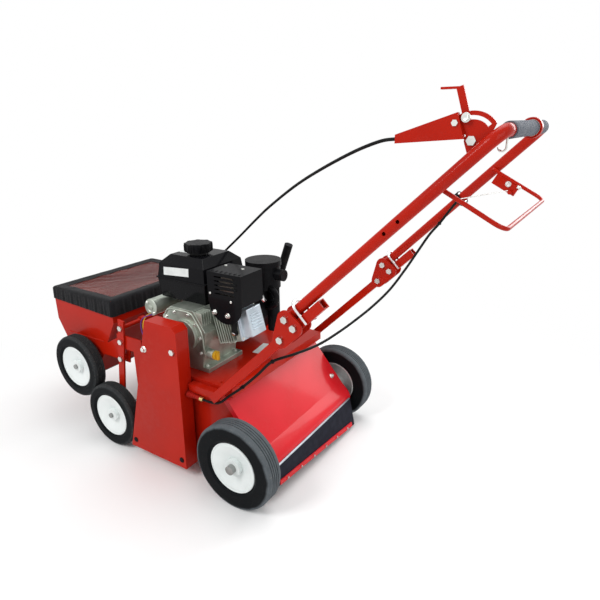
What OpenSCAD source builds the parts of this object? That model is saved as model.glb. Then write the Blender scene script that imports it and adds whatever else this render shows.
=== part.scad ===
// Walk-behind overseeder: a slitting reel under a steel deck, a small engine with a belt drive,
// a seed hopper turned by wheels that rub on the front tyres, and a folding handle with its controls.
// Millimetres. +X points back to the operator, +Y to the operator's right, +Z up.
// The origin lies on the ground below the middle of the plan.

/* [Stance] */
// Distance from the middle of the plan back to the rear axle
rear_axle_x = 116; // [106:1:126]
// Distance between the rear and the front axle
wheelbase = 527; // [515:1:560]
// Rise of the seed wheels over the front wheels, seen from the side
seed_lift_angle = 35.3; // [30:0.1:42]

/* [Rear wheels] */
// Outer radius of the rear tyres
rear_tyre_r = 127; // [120:1:136]
// Width of the rear tyres
rear_tyre_w = 57; // [48:1:60]
// Radius of the rear rims
rear_rim_r = 75; // [65:1:90]
// Distance from the centreline to the outer face of the rear tyres
rear_face_y = 309; // [305:1:330]
// Radius of the rear axle
rear_axle_r = 10; // [8:0.5:12]

/* [Front and seed wheels] */
// Outer radius of the front and seed tyres
small_tyre_r = 107; // [100:1:110]
// Width of the front and seed tyres
small_tyre_w = 44; // [36:1:45]
// Radius of the front and seed rims
small_rim_r = 71; // [60:1:80]
// Distance from the centreline to the outer face of the front tyres
front_face_y = 286; // [284:1:300]
// Distance from the centreline to the outer face of the seed tyres
seed_face_y = 272; // [270:1:285]
// Radius of the front axle and of the seed shaft
small_axle_r = 8; // [6:0.5:10]

/* [Chassis] */
// Distance from the centreline to the outer face of the side plates
side_y = 231; // [225:1:234]
// Thickness of the side plates
plate_t = 5; // [3:0.5:8]
// Height of the deck's top over the ground
deck_z = 320; // [312:1:330]
// Thickness of the deck
deck_t = 5; // [3:0.5:8]
// Depth of the deck's folded edges
deck_fold = 26; // [16:1:32]
// Thickness of the sloping rear hood
hood_t = 3; // [2:0.5:5]
// Thickness of the rubber flap
flap_t = 4; // [3:0.5:6]
// Height of the flap's lower edge over the ground
flap_foot_z = 8; // [6:1:20]

/* [Hopper] */
// Length of the hopper across the machine
hopper_len = 438; // [400:1:442]
// Height of the hopper's rim over the ground
hopper_rim_z = 479; // [465:1:495]
// Length of the hopper's mouth from front to back
hopper_mouth = 300; // [280:1:310]
// Wall of the hopper
hopper_wall = 2.5; // [1.5:0.5:4]
// Depth of the cover's gathered skirt at the back
cover_skirt = 55; // [40:1:60]

/* [Reel and belt] */
// Radius of the slitting blades
blade_r = 95; // [80:1:105]
// Number of slitting blades
blade_count = 11; // [5:1:13]
// Radius of the pulley on the engine
drive_pulley_r = 32; // [28:1:36]
// Radius of the pulley on the reel
driven_pulley_r = 50; // [44:1:56]
// Depth of the belt guard
guard_depth = 42; // [38:1:46]
// Distance from the centreline to the guard's outer face
guard_face_y = 289; // [286:1:296]

/* [Engine] */
// Height of the crankshaft over the deck
crank_rise = 106; // [100:1:112]
// Radius of the fuel cap
fuel_cap_r = 42; // [34:1:46]
// Radius of the air cleaner
air_cleaner_r = 54; // [48:1:57]

/* [Handle] */
// Outer radius of the handle tube
handle_r = 12.5; // [11.5:0.5:13.5]
// Wall of the handle tube
handle_wall = 2; // [1.5:0.25:3]
// Slope of the handle in use
handle_tilt = 44.5; // [43:0.1:46]
// Length from the fold pivot to the hand bar
handle_len = 571; // [540:1:620]
// Radius of the foam hand grip
grip_r = 15.5; // [14:0.5:18]
// Length of the foam hand grip
grip_len = 344; // [300:1:360]
// Reach of the bail from its pivots to its bar
bail_reach = 142; // [135:1:143]

/* [Hidden] */
$fn = 64;
// Small round details need fewer steps
fine_fn = 32;
// Overrun of every cut through a wall
over = 1;
// Gap between pieces that seat on each other
seat = 0.3;
// Radial clearance of a turning fit
run = 0.05;

// Colours
red = "#b8241b";
dark_red = "#8f1b15";
black = "#1c1d1f";
rubber = "#26282a";
rim_white = "#e8eceb";
steel = "#b9bdbf";
cast = "#9aa39b";
yellow = "#e2b21c";

// Axles
rear_axle_z = rear_tyre_r;
front_axle_x = rear_axle_x - wheelbase;
front_axle_z = small_tyre_r;
tyre_gap = 0.5;
seed_step = 2 * small_tyre_r + tyre_gap;
seed_axle_x = front_axle_x - seed_step * cos(seed_lift_angle);
seed_axle_z = front_axle_z + seed_step * sin(seed_lift_angle);
axle_end = 8;
axle_cap_r = 13;

// Wheel sections
rim_t = 3;
rim_lip = 9;
rim_set = 6;
rim_dish = 20;
hub_r = 24;
small_hub_r = 20;
tread_grooves = 4;
groove_w = 3;
groove_d = 3;
tyre_shoulder = 9;
bead_share = 0.8;

// Side plates, deck and hood
plate_short = 87;
plate_reach = wheelbase - plate_short;
plate_foot_z = 45;
plate_heel = 62;
nose_in = 127;
nose_back = wheelbase - nose_in;
nose_short = 15;
nose_tip = wheelbase - nose_short;
nose_low_z = 335;
nose_high_z = 380;
deck_set = 5;
deck_front = nose_back - deck_set;
deck_rear = 42;
deck_under_z = deck_z - deck_t;
hood_top_back = -74;
hood_foot_back = 75;
hood_top_z = 287;
hood_foot_z = 108;
hood_lip = 14;
hood_fold = 16;
hood_top = [rear_axle_x + hood_top_back, hood_top_z];
hood_foot = [rear_axle_x + hood_foot_back, hood_foot_z];
hood_dir = (hood_foot - hood_top) / norm(hood_foot - hood_top);
hood_out = [-hood_dir.y, hood_dir.x];
hood_y = side_y + seat + hood_t;
flap_side = 10;
flap_lap = 12;
flap_lean = 20;
flap_near_lean = 2;
flap_near_rise = 32;
flap_stations = 12;
strip_up = 3;
strip_h = 14;
strip_t = 3;
strip_side = 20;
strip_screws = 6;
screw_r = 3;
spare_hole_r = 3.5;
spare_hole_pitch = 36;
spare_hole_inset = 14;
spare_hole_back = 96;

// Front uprights, cross rod and their bolts
upright_w = 25;
upright_t = 6;
upright_len = 330;
upright_tilt = 9;
upright_face_y = side_y + seat + upright_t;
bolt_r = 5;
head_r = 9;
head_h = 6;
upright_bolt_ups = [304, 256, 195];
rod_r = 8;
collar_r = 13;
collar_w = 16;
collar_in = 70;

// Hopper
hopper_half = hopper_len / 2;
hopper_set = 9;
hopper_back_x = front_axle_x - hopper_set;
hopper_front_x = hopper_back_x - hopper_mouth;
hopper_belt_z = 366;
hopper_back_belt_z = 405;
hopper_sole = 84;
sole_drop = 35;
hopper_sole_z = seed_axle_z - sole_drop;
hopper_front_sole_x = seed_axle_x - hopper_sole / 2;
hopper_back_sole_x = seed_axle_x + hopper_sole / 2;
ear_w = 34;
ear_t = 4;
drop_r = 7;
drop_count = 9;
drop_pitch = 44;
gate_t = 2.5;
gate_side = 14;
gate_travel = 20;
gate_tab_h = 18;
runner_t = 3;
agitator_r = 26;
agitator_w = 5;
agitator_count = 8;
cover_gap = 1.5;
cover_t = 2;
cover_round = 6;
cover_sag = 9;
cover_border = 34;
fold_count = 20;
short_fold_count = 12;
fold_depth = 3.2;
skirt_rise = 14;
fold_ripple = 0.6;

// Reel
reel_ahead = 217;
reel_back = wheelbase - reel_ahead;
reel_x = rear_axle_x - reel_back;
reel_z = 118;
reel_shaft_r = 12.5;
bearing_r = 36;
bearing_w = 8;
blade_t = 3;
blade_span = 400;
blade_core_share = 0.62;
blade_teeth = 6;
blade_tooth_share = 0.34;

// Belt drive
crank_back = 240;
crank_x = rear_axle_x - crank_back;
crank_z = deck_z + crank_rise;
crank_r = 10;
belt_t = 5;
belt_w = 12;
pulley_w = 18;
pulley_lip = 5;
guard_t = 2.5;
guard_back_t = 4;
guard_back_y = guard_face_y - guard_depth;
pulley_y = guard_back_y + (guard_depth - guard_t) / 2;
guard_top_z = 486;
guard_foot_z = 36;
guard_top_front = 303;
guard_top_rear = 184;
guard_lead = 97;
guard_foot_front = wheelbase - guard_lead;
guard_tail = 118;
guard_foot_rear = reel_back - guard_tail;
guard_chamfer = 14;
guard_ear_r = 12;
guard_bolt_z = 397;
guard_ear_out = head_r + 4 * seat;
guard_bolt_in = 18;
guard_bolt_lift = 17;
plug_r = 8;
plug_in = 16;
plug_up = 27;
shaft_hole_gap = 6;
belt_run = [reel_x - crank_x, reel_z - crank_z];
belt_centres = norm(belt_run);
belt_dir = belt_run / belt_centres;
belt_side = [-belt_dir.y, belt_dir.x];
idler_pivot_share = 0.7;
idler_arm_len = 96;
idler_r = 16;
idler_stud_r = 6;
idler_w = 14;
idler_plate_t = 5;
idler_plate_w = 20;
idler_pivot = [crank_x, crank_z] + belt_run * idler_pivot_share;
idler_centre = idler_pivot - belt_dir * idler_arm_len;
stud_head_t = 3;

// Engine
foot_front = 342;
foot_rear = 160;
foot_near_y = 196;
foot_far_y = 44;
foot_t = 14;
case_near_y = 196;
case_far_y = 50;
case_front = 330;
case_rear = 165;
case_rise = 76;
case_top_z = crank_z + case_rise;
case_shoulder = 34;
boss_r = 46;
boss_t = 12;
cylinder_tilt = 15;
cylinder_y = -105;
cylinder_start = 52;
barrel_len = 155;
barrel_h = 70;
barrel_w = 66;
fin_h = 100;
fin_w = 92;
fin_t = 3;
fin_pitch = 9;
fin_count = 7;
fin_start = 78;
head_t = 14;
valve_t = 40;
valve_h = 96;
valve_w = 80;
valve_edge = 8;
tank_front = 394;
tank_rear = 198;
tank_near_y = 150;
tank_far_y = 6;
tank_top_far_y = 38;
tank_bottom_z = case_top_z + seat;
tank_lip_z = 562;
tank_shoulder_z = 608;
tank_top_z = 632;
tank_lip = 3;
tank_lip_t = 5;
tank_draw = 9;
tank_slope = 34;
neck_r = 28;
neck_h = 8;
cap_back = 287;
cap_y = -70;
fuel_cap_h = 26;
cap_lobes = 8;
cap_lobe_r = 9;
cap_inner_share = 0.9;
muffler_front = 172;
muffler_rear = 52;
muffler_near_y = 165;
muffler_far_y = 70;
muffler_low_z = 530;
muffler_top_z = 618;
muffler_skirt_z = 472;
muffler_wall = 2.5;
muffler_gap = 10;
exhaust_w = 30;
exhaust_len = 40;
slot_h = 4;
slot_pitch = 12;
slot_rows = 5;
slot_margin = 26;
air_back = 112;
air_y = 16;
air_low_z = 534;
air_top_z = 618;
air_lid = 16;
air_lid_edge = 3;
snorkel_r = 17;
snorkel_len = 22;
snorkel_z = 578;
carb_w = 52;
carb_len = 52;
carb_low_z = 452;
elbow_r = 19;
elbow_back = 78;
elbow_low_z = 402;
blower_r = 100;
blower_rise = 8;
blower_near_y = -8;
blower_w = 88;
blower_neck_r = 64;
recoil_r = 78;
recoil_w = 24;
starter_back = 400;
starter_rise = 46;
starter_z = crank_z + starter_rise;
starter_r = 26;
starter_near_y = 172;
starter_len = 120;
starter_foot = 26;
starter_foot_t = 14;
oil_back = 150;
oil_rise = 54;
oil_z = deck_z + oil_rise;
oil_y = 178;
oil_r = 13;
oil_h = 14;
oil_neck_r = 15;
oil_neck = 30;

// Depth lever
depth_back = 246;
depth_y = 205;
depth_z = deck_z + 26;
depth_tilt = 20;
depth_len = 292;
depth_bar_w = 18;
depth_bar_t = 6;
depth_grip_r = 14;
depth_grip_len = 104;
depth_pin_r = 6;
depth_ear_w = 40;
depth_ear_t = 6;

// Handle
pivot_back = 172;
pivot_x = rear_axle_x + pivot_back;
pivot_z = 585;
pivot_y = 267;
hand_bar_half = 218;
tube_tail = 9;
tube_step = 0.1;
tube_bend_r = 36;
tube_lean = atan2(pivot_y - hand_bar_half, handle_len);
tube_turn = 90 - tube_lean;
stub_pitch = 28;
stub_end = 96;
stub_size = 23;
stub_wall = 2.5;
foot_drop_z = 298;
arm_front_x = rear_axle_x - guard_top_rear + 2 * seat;
foot_y = side_y + seat + deck_t + seat + stub_size / 2;
stub_low = (foot_drop_z - pivot_z + stub_pitch * cos(handle_tilt)) / sin(handle_tilt);
bracket_gap = 33;
bracket_t = 5;
bracket_r = 21;
stub_bolt_up = 5;
stub_bolt_down = -47;
strap_w = 13;
strap_t = 2;
strap_y = 50;
accessory_r = 4;
accessory_alongs = [336, 300];

// Bail
bail_pivot_along = 426;
bail_r = 4.5;
bail_rest_angle = 28.5;
bail_gap = 1;
bail_corner_r = 24;
bail_pin = 9;
tab_len = 78;
tab_w = 30;
tab_t = 4;
tab_start = 14;
clevis_r = 5;
clevis_w = 12;

// Lock clips
clip_along = 36;
clip_mid_along = 60;
clip_wire_r = 3.5;
clip_half = 20.5;
clip_leg = 40;

// Seed rate controls, hook and cable clip
rate_along = 520;
rate_rise = 26;
quadrant_r = 50;
quadrant_t = 4;
quadrant_start = 36;
quadrant_sweep = 104;
slot_r = 39;
slot_half = 3.4;
slot_from = 41;
slot_sweep = 74;
rate_bolt_r = 5;
lock_bolt_r = 3;
lock_head_r = 6;
lock_head_h = 5;
lever_w = 13;
lever_t = 4;
lever_len = 95;
lever_tab = 34;
lever_angle = 108;
horn_t = 12;
horn_tip = 8;
horn_len = 139;
horn_root_low = 6;
horn_root_high = 53;
horn_set = 9;
horn_lift = 2;
horn_bolt = [-28, 30];
horn_bolt_r = 3;
hook_r = 2;
hook_drop = 16;
hook_bend = 7;
hook_y = 180;
clip_ring_along = 309;

// Cables: routes are chosen by hand, from the handle down to the machine
cable_r = 3.5;
cable_sides = 8;
ferrule_r = 5.5;
wire_r = 1.2;
clutch_route = [
  [509, 219, 803], [486, 222, 770], [461, 224, 733], [436, 220, 699], [410, 206, 650], [386, 180, 600],
  [360, 138, 548], [336, 80, 512], [318, 10, 490], [306, -70, 478], [294, -150, 472], [274, -225, 472],
  [234, -266, 458], [189, -267, 412], [138, -267, 362], [91.6, -267, 322.6], [51.6, -267, 288.8],
  [14, -266, 280], [-34, -264, 280], [-69, -263, 281]
];
seed_route = [
  [500.8, -214.5, 970], [466, -209, 965], [396, -185, 942], [295, -145, 900], [197, -100, 854],
  [84, -50, 790], [6, -15, 740], [-79, 20, 681], [-144, 42, 635], [-206, 60, 590], [-270, 74, 544],
  [-334, 82, 500], [-388, 82, 452], [-412, 80, 408], [-434, 80, 360], [-458, 80, 312],
  [-490, 80, 256], [-508, 80, 222]
];

// Points, lines and repeated shapes

function blend(a, b, share) = a + (b - a) * share;
function turn(v, angle) = [v.x * cos(angle) - v.y * sin(angle), v.x * sin(angle) + v.y * cos(angle)];

module block(low, high) {
  translate(low)
    cube(high - low);
}

module bar_y(x, z, y0, y1, r) {
  translate([x, y0, z])
    rotate([-90, 0, 0])
      cylinder(r = r, h = y1 - y0);
}

module plate_xz(outline, y0, thick) {
  translate([0, y0 + thick, 0])
    rotate([90, 0, 0])
      linear_extrude(thick)
        polygon(outline);
}

module both_sides() {
  children();
  mirror([0, 1, 0])
    children();
}

module rod_between(p, q, r) {
  d = q - p;
  translate(p)
    rotate([0, acos(d.z / norm(d)), atan2(d.y, d.x)])
      cylinder(r = r, h = norm(d));
}

module bolt_head(x, z, face_y, r = head_r, h = head_h) {
  translate([x, face_y, z])
    rotate([90, 0, 0])
      cylinder(r = r, h = h, $fn = 6);
}

// Handle frame: X runs up the tube from the fold pivot, Z stands square to it towards the front
module on_handle() {
  translate([pivot_x, 0, pivot_z])
    rotate([0, -handle_tilt, 0])
      children();
}

function handle_point(along, lift) = [
  pivot_x + along * cos(handle_tilt) - lift * sin(handle_tilt),
  pivot_z + along * sin(handle_tilt) + lift * cos(handle_tilt)
];
function tube_y(along) = pivot_y - along * tan(tube_lean);

// A tube swept along hand-chosen points, closed at both ends
function unit(v) = v / norm(v);
function heading(path, i) = unit(path[min(i + 1, len(path) - 1)] - path[max(i - 1, 0)]);
function side_of(d) = unit(cross(d, abs(d.z) > 0.9 ? [1, 0, 0] : [0, 0, 1]));
function ring(path, i, r, sides) =
  let (d = heading(path, i), s = side_of(d), u = cross(s, d))
  [for (k = [0 : sides - 1]) path[i] + r * (cos(k * 360 / sides) * s + sin(k * 360 / sides) * u)];

// Points between two route points follow a smooth curve through their neighbours
function curve_point(a, b, c, d, t) =
  0.5 * (2 * b + (c - a) * t + (2 * a - 5 * b + 4 * c - d) * t * t + (3 * b - a - 3 * c + d) * t * t * t);
function smooth(path, steps) = [
  for (i = [0 : len(path) - 2])
    for (s = [0 : steps - 1])
      curve_point(path[max(i - 1, 0)], path[i], path[i + 1], path[min(i + 2, len(path) - 1)], s / steps),
  path[len(path) - 1]
];

// A closed skin over rings of points
module skin(rings) {
  count = len(rings);
  sides = len(rings[0]);
  walls = [
    for (i = [0 : count - 2])
      for (k = [0 : sides - 1])
        let (a = i * sides + k, b = i * sides + (k + 1) % sides)
          each [[a, b, b + sides], [a, b + sides, a + sides]]
  ];
  start = [for (k = [1 : sides - 2]) [0, k + 1, k]];
  last = (count - 1) * sides;
  end = [for (k = [1 : sides - 2]) [last, last + k, last + k + 1]];
  polyhedron([for (loop = rings) each loop], concat(walls, start, end), convexity = 10);
}

module swept_tube(path, r, sides) {
  skin([for (i = [0 : len(path) - 1]) ring(path, i, r, sides)]);
}

// Wheels stand on their axis along Z, with the outer face at zero

module rim_section(rim_r, width, hub, bore) {
  polygon([
    [bore, rim_set], [hub, rim_set], [hub, rim_dish], [rim_r - rim_lip, rim_set], [rim_r, rim_set],
    [rim_r, width - rim_set], [rim_r - rim_t, width - rim_set], [rim_r - rim_t, rim_set + 2 * rim_t],
    [rim_r - rim_lip, rim_set + rim_t], [hub, rim_dish + rim_t], [hub, width], [bore, width]
  ]);
}

module rim(rim_r, width, hub, bore) {
  rotate_extrude()
    rim_section(rim_r, width, hub, bore);
}

// Grooves of the tread, as points of the section from one shoulder to the other
function tread_points(tyre_r, width) =
  let (pitch = (width - 2 * tyre_shoulder) / (tread_grooves + 1))
  [for (i = [1 : tread_grooves])
    let (low = tyre_shoulder + i * pitch - groove_w / 2, high = low + groove_w)
      each [[tyre_r, low], [tyre_r - groove_d, low], [tyre_r - groove_d, high], [tyre_r, high]]];

module tyre(tyre_r, rim_r, width) {
  bead = width * (1 - bead_share) / 2;
  round_r = tyre_r - tyre_shoulder * (1 - cos(45));
  round_z = tyre_shoulder * (1 - sin(45));
  rotate_extrude()
    polygon(concat(
      [[rim_r + seat, bead], [rim_r + rim_lip, 0], [tyre_r - tyre_shoulder, 0], [round_r, round_z]],
      [[tyre_r, tyre_shoulder]],
      tread_points(tyre_r, width),
      [[tyre_r, width - tyre_shoulder], [round_r, width - round_z], [tyre_r - tyre_shoulder, width]],
      [[rim_r + rim_lip, width], [rim_r + seat, width - bead]]
    ));
}

module wheel_at(x, z, face_y) {
  translate([x, -face_y, z])
    rotate([-90, 0, 0])
      children();
}

// Chassis

module deck_plate() {
  front_x = rear_axle_x - deck_front;
  rear_x = rear_axle_x - deck_rear;
  edge_y = side_y + seat + deck_t;
  ear_x = rear_axle_x - depth_back;
  color(red)
    difference() {
      union() {
        block([front_x, -edge_y, deck_under_z], [rear_x, edge_y, deck_z]);
        both_sides()
          block([front_x, -edge_y, deck_z - deck_fold], [rear_x, -edge_y + deck_t, deck_z]);
        block([rear_x - deck_t, -edge_y, deck_z - deck_fold], [rear_x, edge_y, deck_z]);
        block([ear_x - depth_ear_w / 2, depth_y + depth_bar_t / 2 + seat, deck_under_z],
                      [ear_x + depth_ear_w / 2, depth_y + depth_bar_t / 2 + seat + depth_ear_t,
                          depth_z + depth_ear_w / 2]);
        bar_y(ear_x, depth_z, depth_y - depth_bar_t / 2 - seat,
            depth_y + depth_bar_t / 2 + seat, depth_pin_r);
        bar_y(ear_x, depth_z, depth_y - depth_bar_t / 2 - seat - stud_head_t,
                      depth_y - depth_bar_t / 2 - seat, depth_pin_r + stud_head_t);
      }
      for (i = [0, 1])
        translate([rear_axle_x - spare_hole_back + i * spare_hole_pitch,
            -edge_y + deck_t + spare_hole_inset,
                           deck_under_z - over])
          cylinder(r = spare_hole_r, h = deck_t + 2 * over);
    }
}

function side_outline() = [
  [rear_axle_x - plate_reach, plate_foot_z],
  [rear_axle_x + plate_heel, plate_foot_z],
  hood_foot,
  hood_top,
  [hood_top.x, deck_under_z - seat],
  [rear_axle_x - nose_back, deck_under_z - seat],
  [rear_axle_x - nose_back, nose_high_z],
  [rear_axle_x - nose_tip, nose_high_z],
  [rear_axle_x - nose_tip, nose_low_z],
  [rear_axle_x - plate_reach, nose_low_z]
];

function upright_point(up) = [
  front_axle_x + up * sin(upright_tilt), front_axle_z + up * cos(upright_tilt)
];

module side_plate() {
  nose_bolt = upright_point(upright_bolt_ups[1]);
  difference() {
    plate_xz(side_outline(), -side_y, plate_t);
    bar_y(rear_axle_x, rear_axle_z, -side_y - over, -side_y + plate_t + over, rear_axle_r + run);
    bar_y(reel_x, reel_z, -side_y - over, -side_y + plate_t + over, reel_shaft_r + shaft_hole_gap);
    bar_y(nose_bolt.x, nose_bolt.y, -side_y - over, -side_y + plate_t + over, bolt_r + run);
  }
}

module side_plate_left() {
  color(red)
    side_plate();
}

module side_plate_right() {
  color(red)
    mirror([0, 1, 0])
      side_plate();
}

module rear_hood() {
  inner_top = hood_top + hood_out * seat;
  inner_foot = hood_foot + hood_out * seat;
  outer_top = inner_top + hood_out * hood_t;
  outer_foot = inner_foot + hood_out * hood_t;
  lip_z = inner_foot.y - hood_lip;
  color(red)
    union() {
      plate_xz([
        inner_top, outer_top, outer_foot, [outer_foot.x, lip_z], [outer_foot.x - hood_t, lip_z], inner_foot
      ], -hood_y, 2 * hood_y);
      both_sides()
        plate_xz([
          outer_top, outer_foot, outer_foot - hood_out * hood_fold, outer_top - hood_out * hood_fold
        ], -hood_y, hood_t);
    }
}

flap_top = [hood_foot.x + hood_out.x * (seat + hood_t) + seat, hood_foot_z - hood_lip + flap_lap];
flap_half = hood_y - flap_side;

// The flap hangs a little higher and straighter at the left end
function flap_foot(y) =
  let (share = (flap_half - y) / (2 * flap_half))
  [flap_top.x + blend(flap_lean, flap_near_lean, share), flap_foot_z + flap_near_rise * share];
function flap_point(y, up, out) =
  let (foot = flap_foot(y), p = blend(foot, flap_top, up / (flap_top.y - foot.y)))
  [p.x + out, y, p.y];

module hanging_sheet(half, low, high, out, thick) {
  skin([
    for (k = [0 : flap_stations])
      let (y = blend(half, -half, k / flap_stations), top = min(high, flap_top.y - flap_foot(y).y))
      [
        flap_point(y, low, out), flap_point(y, low, out + thick),
        flap_point(y, top, out + thick), flap_point(y, top, out)
      ]
  ]);
}

module rubber_flap() {
  color(rubber)
    hanging_sheet(flap_half, 0, flap_top.y, 0, flap_t);
}

module flap_strip() {
  color(red)
    hanging_sheet(flap_half - strip_side, strip_up, strip_up + strip_h, flap_t + seat, strip_t);
}

module rear_axle() {
  color(steel)
    union() {
      bar_y(rear_axle_x, rear_axle_z, -rear_face_y, rear_face_y, rear_axle_r);
      both_sides()
        bar_y(rear_axle_x, rear_axle_z, -rear_face_y - axle_end, -rear_face_y + rim_set - seat, axle_cap_r);
    }
}

module front_uprights() {
  color(red)
    both_sides()
      difference() {
        translate([front_axle_x, -upright_face_y, front_axle_z])
          rotate([0, upright_tilt, 0])
            translate([-upright_w / 2, 0, -upright_w / 2])
              cube([upright_w, upright_t, upright_len + upright_w / 2]);
        bar_y(front_axle_x, front_axle_z, -upright_face_y - over, -upright_face_y + upright_t + over,
                      small_axle_r + run);
        for (up = upright_bolt_ups)
          bar_y(upright_point(up).x, upright_point(up).y, -upright_face_y - over,
                          -upright_face_y + upright_t + over, bolt_r + run);
      }
}

module cross_rod() {
  top = upright_point(upright_bolt_ups[0]);
  half = upright_face_y - upright_t - seat;
  color(red)
    union() {
      bar_y(top.x, top.y, -half, half, rod_r);
      both_sides()
        bar_y(top.x, top.y, -half + collar_in, -half + collar_in + collar_w, collar_r);
    }
}

// Hopper

function hopper_outline(inset) = [
  [hopper_front_x + inset, hopper_rim_z],
  [hopper_front_x + inset, hopper_belt_z],
  [hopper_front_sole_x + inset, hopper_sole_z + inset],
  [hopper_back_sole_x - inset, hopper_sole_z + inset],
  [hopper_back_x - inset, hopper_back_belt_z],
  [hopper_back_x - inset, hopper_rim_z]
];

module drop_holes(z0, z1, shift) {
  for (i = [0 : drop_count - 1])
    translate([seed_axle_x + shift, (i - (drop_count - 1) / 2) * drop_pitch, z0])
      cylinder(r = drop_r, h = z1 - z0);
}

module hopper_ear() {
  low = upright_point(upright_bolt_ups[2]);
  high = upright_point(upright_bolt_ups[1]);
  boss_y = upright_face_y - upright_t - seat;
  difference() {
    union() {
      plate_xz([
        [hopper_back_sole_x, low.y - ear_w / 2], [low.x + ear_w / 2, low.y - ear_w / 2],
        [high.x + ear_w / 2, high.y - plate_t - seat], [hopper_back_x, high.y - plate_t - seat]
      ], -hopper_half, ear_t);
      bar_y(low.x, low.y, -boss_y, -hopper_half + ear_t, bolt_r * 2);
    }
    bar_y(low.x, low.y, -boss_y - over, -hopper_half + ear_t + over, bolt_r + run);
  }
}

module hopper_shell() {
  runner_y = hopper_half - gate_side;
  runner_z = hopper_sole_z - seat - gate_t - seat;
  color(red)
    union() {
      difference() {
        plate_xz(hopper_outline(0), -hopper_half, hopper_len);
        plate_xz(concat(hopper_outline(hopper_wall), [
          [hopper_back_x - hopper_wall, hopper_rim_z + over],
          [hopper_front_x + hopper_wall, hopper_rim_z + over]
        ]), -hopper_half + hopper_wall, hopper_len - 2 * hopper_wall);
        bar_y(seed_axle_x, seed_axle_z, -hopper_half - over, hopper_half + over, small_axle_r + run);
        drop_holes(hopper_sole_z - over, hopper_sole_z + hopper_wall + over, 0);
      }
      both_sides() {
        hopper_ear();
        block([hopper_front_sole_x, -runner_y - seat - runner_t, runner_z - runner_t],
                      [hopper_back_sole_x, -runner_y - seat, hopper_sole_z + hopper_wall]);
        block([hopper_front_sole_x, -runner_y - seat - runner_t, runner_z - runner_t],
                      [hopper_back_sole_x, -runner_y + 2 * runner_t, runner_z]);
      }
    }
}

module seed_gate() {
  half = hopper_half - gate_side;
  top_z = hopper_sole_z - seat;
  rear_x = hopper_back_sole_x;
  color(steel)
    difference() {
      union() {
        block([hopper_front_sole_x, -half, top_z - gate_t], [rear_x, half, top_z]);
        block([rear_x - gate_t, seed_route[len(seed_route) - 1].y - ferrule_r, top_z - gate_tab_h],
                      [rear_x, seed_route[len(seed_route) - 1].y + ferrule_r, top_z]);
      }
      drop_holes(top_z - gate_t - over, top_z + over, -gate_travel);
    }
}

// The cover is one skin: a sagging top, a rounded edge and a gathered skirt with its folds
cover_half_x = hopper_mouth / 2 + cover_gap + cover_t;
cover_half_y = hopper_half + cover_gap + cover_t;
cover_mid_x = (hopper_front_x + hopper_back_x) / 2;
cover_arc_steps = 4;

function corner_arc(cx, cy, r, start) = [
  for (k = [0 : cover_arc_steps]) let (a = start + k * 90 / cover_arc_steps) [cx + r * cos(a),
      cy + r * sin(a)]
];
function edge_run(a, b, count) = [for (k = [1 : count - 1]) blend(a, b, k / count)];
function cover_loop(hx, hy, r) = let (x = hx - r, y = hy - r) concat(
  corner_arc(x, y, r, 0), edge_run([x, hy], [-x, hy], short_fold_count),
  corner_arc(-x, y, r, 90), edge_run([-hx, y], [-hx, -y], fold_count),
  corner_arc(-x, -y, r, 180), edge_run([-x, -hy], [x, -hy], short_fold_count),
  corner_arc(x, -y, r, 270), edge_run([hx, -y], [hx, y], fold_count)
);
// Every second point of a ring stands out by the fold's wave and up by the fabric's ripple
function cover_ring(inset, z, wave, ripple, rise = 0) =
  let (loop = cover_loop(cover_half_x - inset, cover_half_y - inset, max(cover_round - inset, cover_t)))
  [for (k = [0 : len(loop) - 1])
    let (push = wave * (k % 2), lift = ripple * (k % 2) + rise * (1 - loop[k].x / cover_half_x) / 2)
    [cover_mid_x + loop[k].x * (1 + push / cover_half_x), loop[k].y * (1 + push / cover_half_y), z + lift]];

module hopper_cover() {
  top_z = hopper_rim_z + cover_gap + cover_t;
  skirt_z = top_z - cover_skirt;
  mid_z = (skirt_z + top_z) / 2;
  rows = [
    cover_ring(0, skirt_z, fold_depth, fold_ripple, skirt_rise),
    cover_ring(0, mid_z, fold_depth / 2, fold_ripple, skirt_rise / 2),
    cover_ring(0, top_z - cover_t, fold_ripple, fold_ripple),
    cover_ring(cover_t, top_z, fold_ripple, fold_ripple),
    cover_ring(cover_border, top_z - cover_sag / 2, 0, fold_ripple),
    cover_ring(cover_border * 2, top_z - cover_sag, 0, fold_ripple),
    cover_ring(cover_border * 2, top_z - cover_sag - cover_t, 0, fold_ripple),
    cover_ring(cover_border, top_z - cover_sag / 2 - cover_t, 0, fold_ripple),
    cover_ring(cover_t * 2, top_z - cover_t, fold_ripple, fold_ripple),
    cover_ring(cover_t, top_z - 2 * cover_t, fold_ripple, fold_ripple),
    cover_ring(cover_t, mid_z, fold_depth / 2, fold_ripple, skirt_rise / 2),
    cover_ring(cover_t, skirt_z, fold_depth, fold_ripple, skirt_rise)
  ];
  n = len(rows[0]);
  last = len(rows);
  inner = last / 2;
  middle = [[cover_mid_x, 0, top_z - cover_sag], [cover_mid_x, 0, top_z - cover_sag - cover_t]];
  walls = [
    for (i = [0 : last - 1])
      if (i != inner - 1)
        for (k = [0 : n - 1])
          let (j = (i + 1) % last, k2 = (k + 1) % n, a = i * n, b = j * n)
            each [[a + k, b + k2, a + k2], [a + k, b + k, b + k2]]
  ];
  top = [for (k = [0 : n - 1]) [last * n, (inner - 1) * n + (k + 1) % n, (inner - 1) * n + k]];
  under = [for (k = [0 : n - 1]) [last * n + 1, inner * n + k, inner * n + (k + 1) % n]];
  color(black)
    polyhedron(concat([for (row = rows) each row], middle), concat(walls, top, under), convexity = 10);
}

// Belt drive and guard

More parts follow.
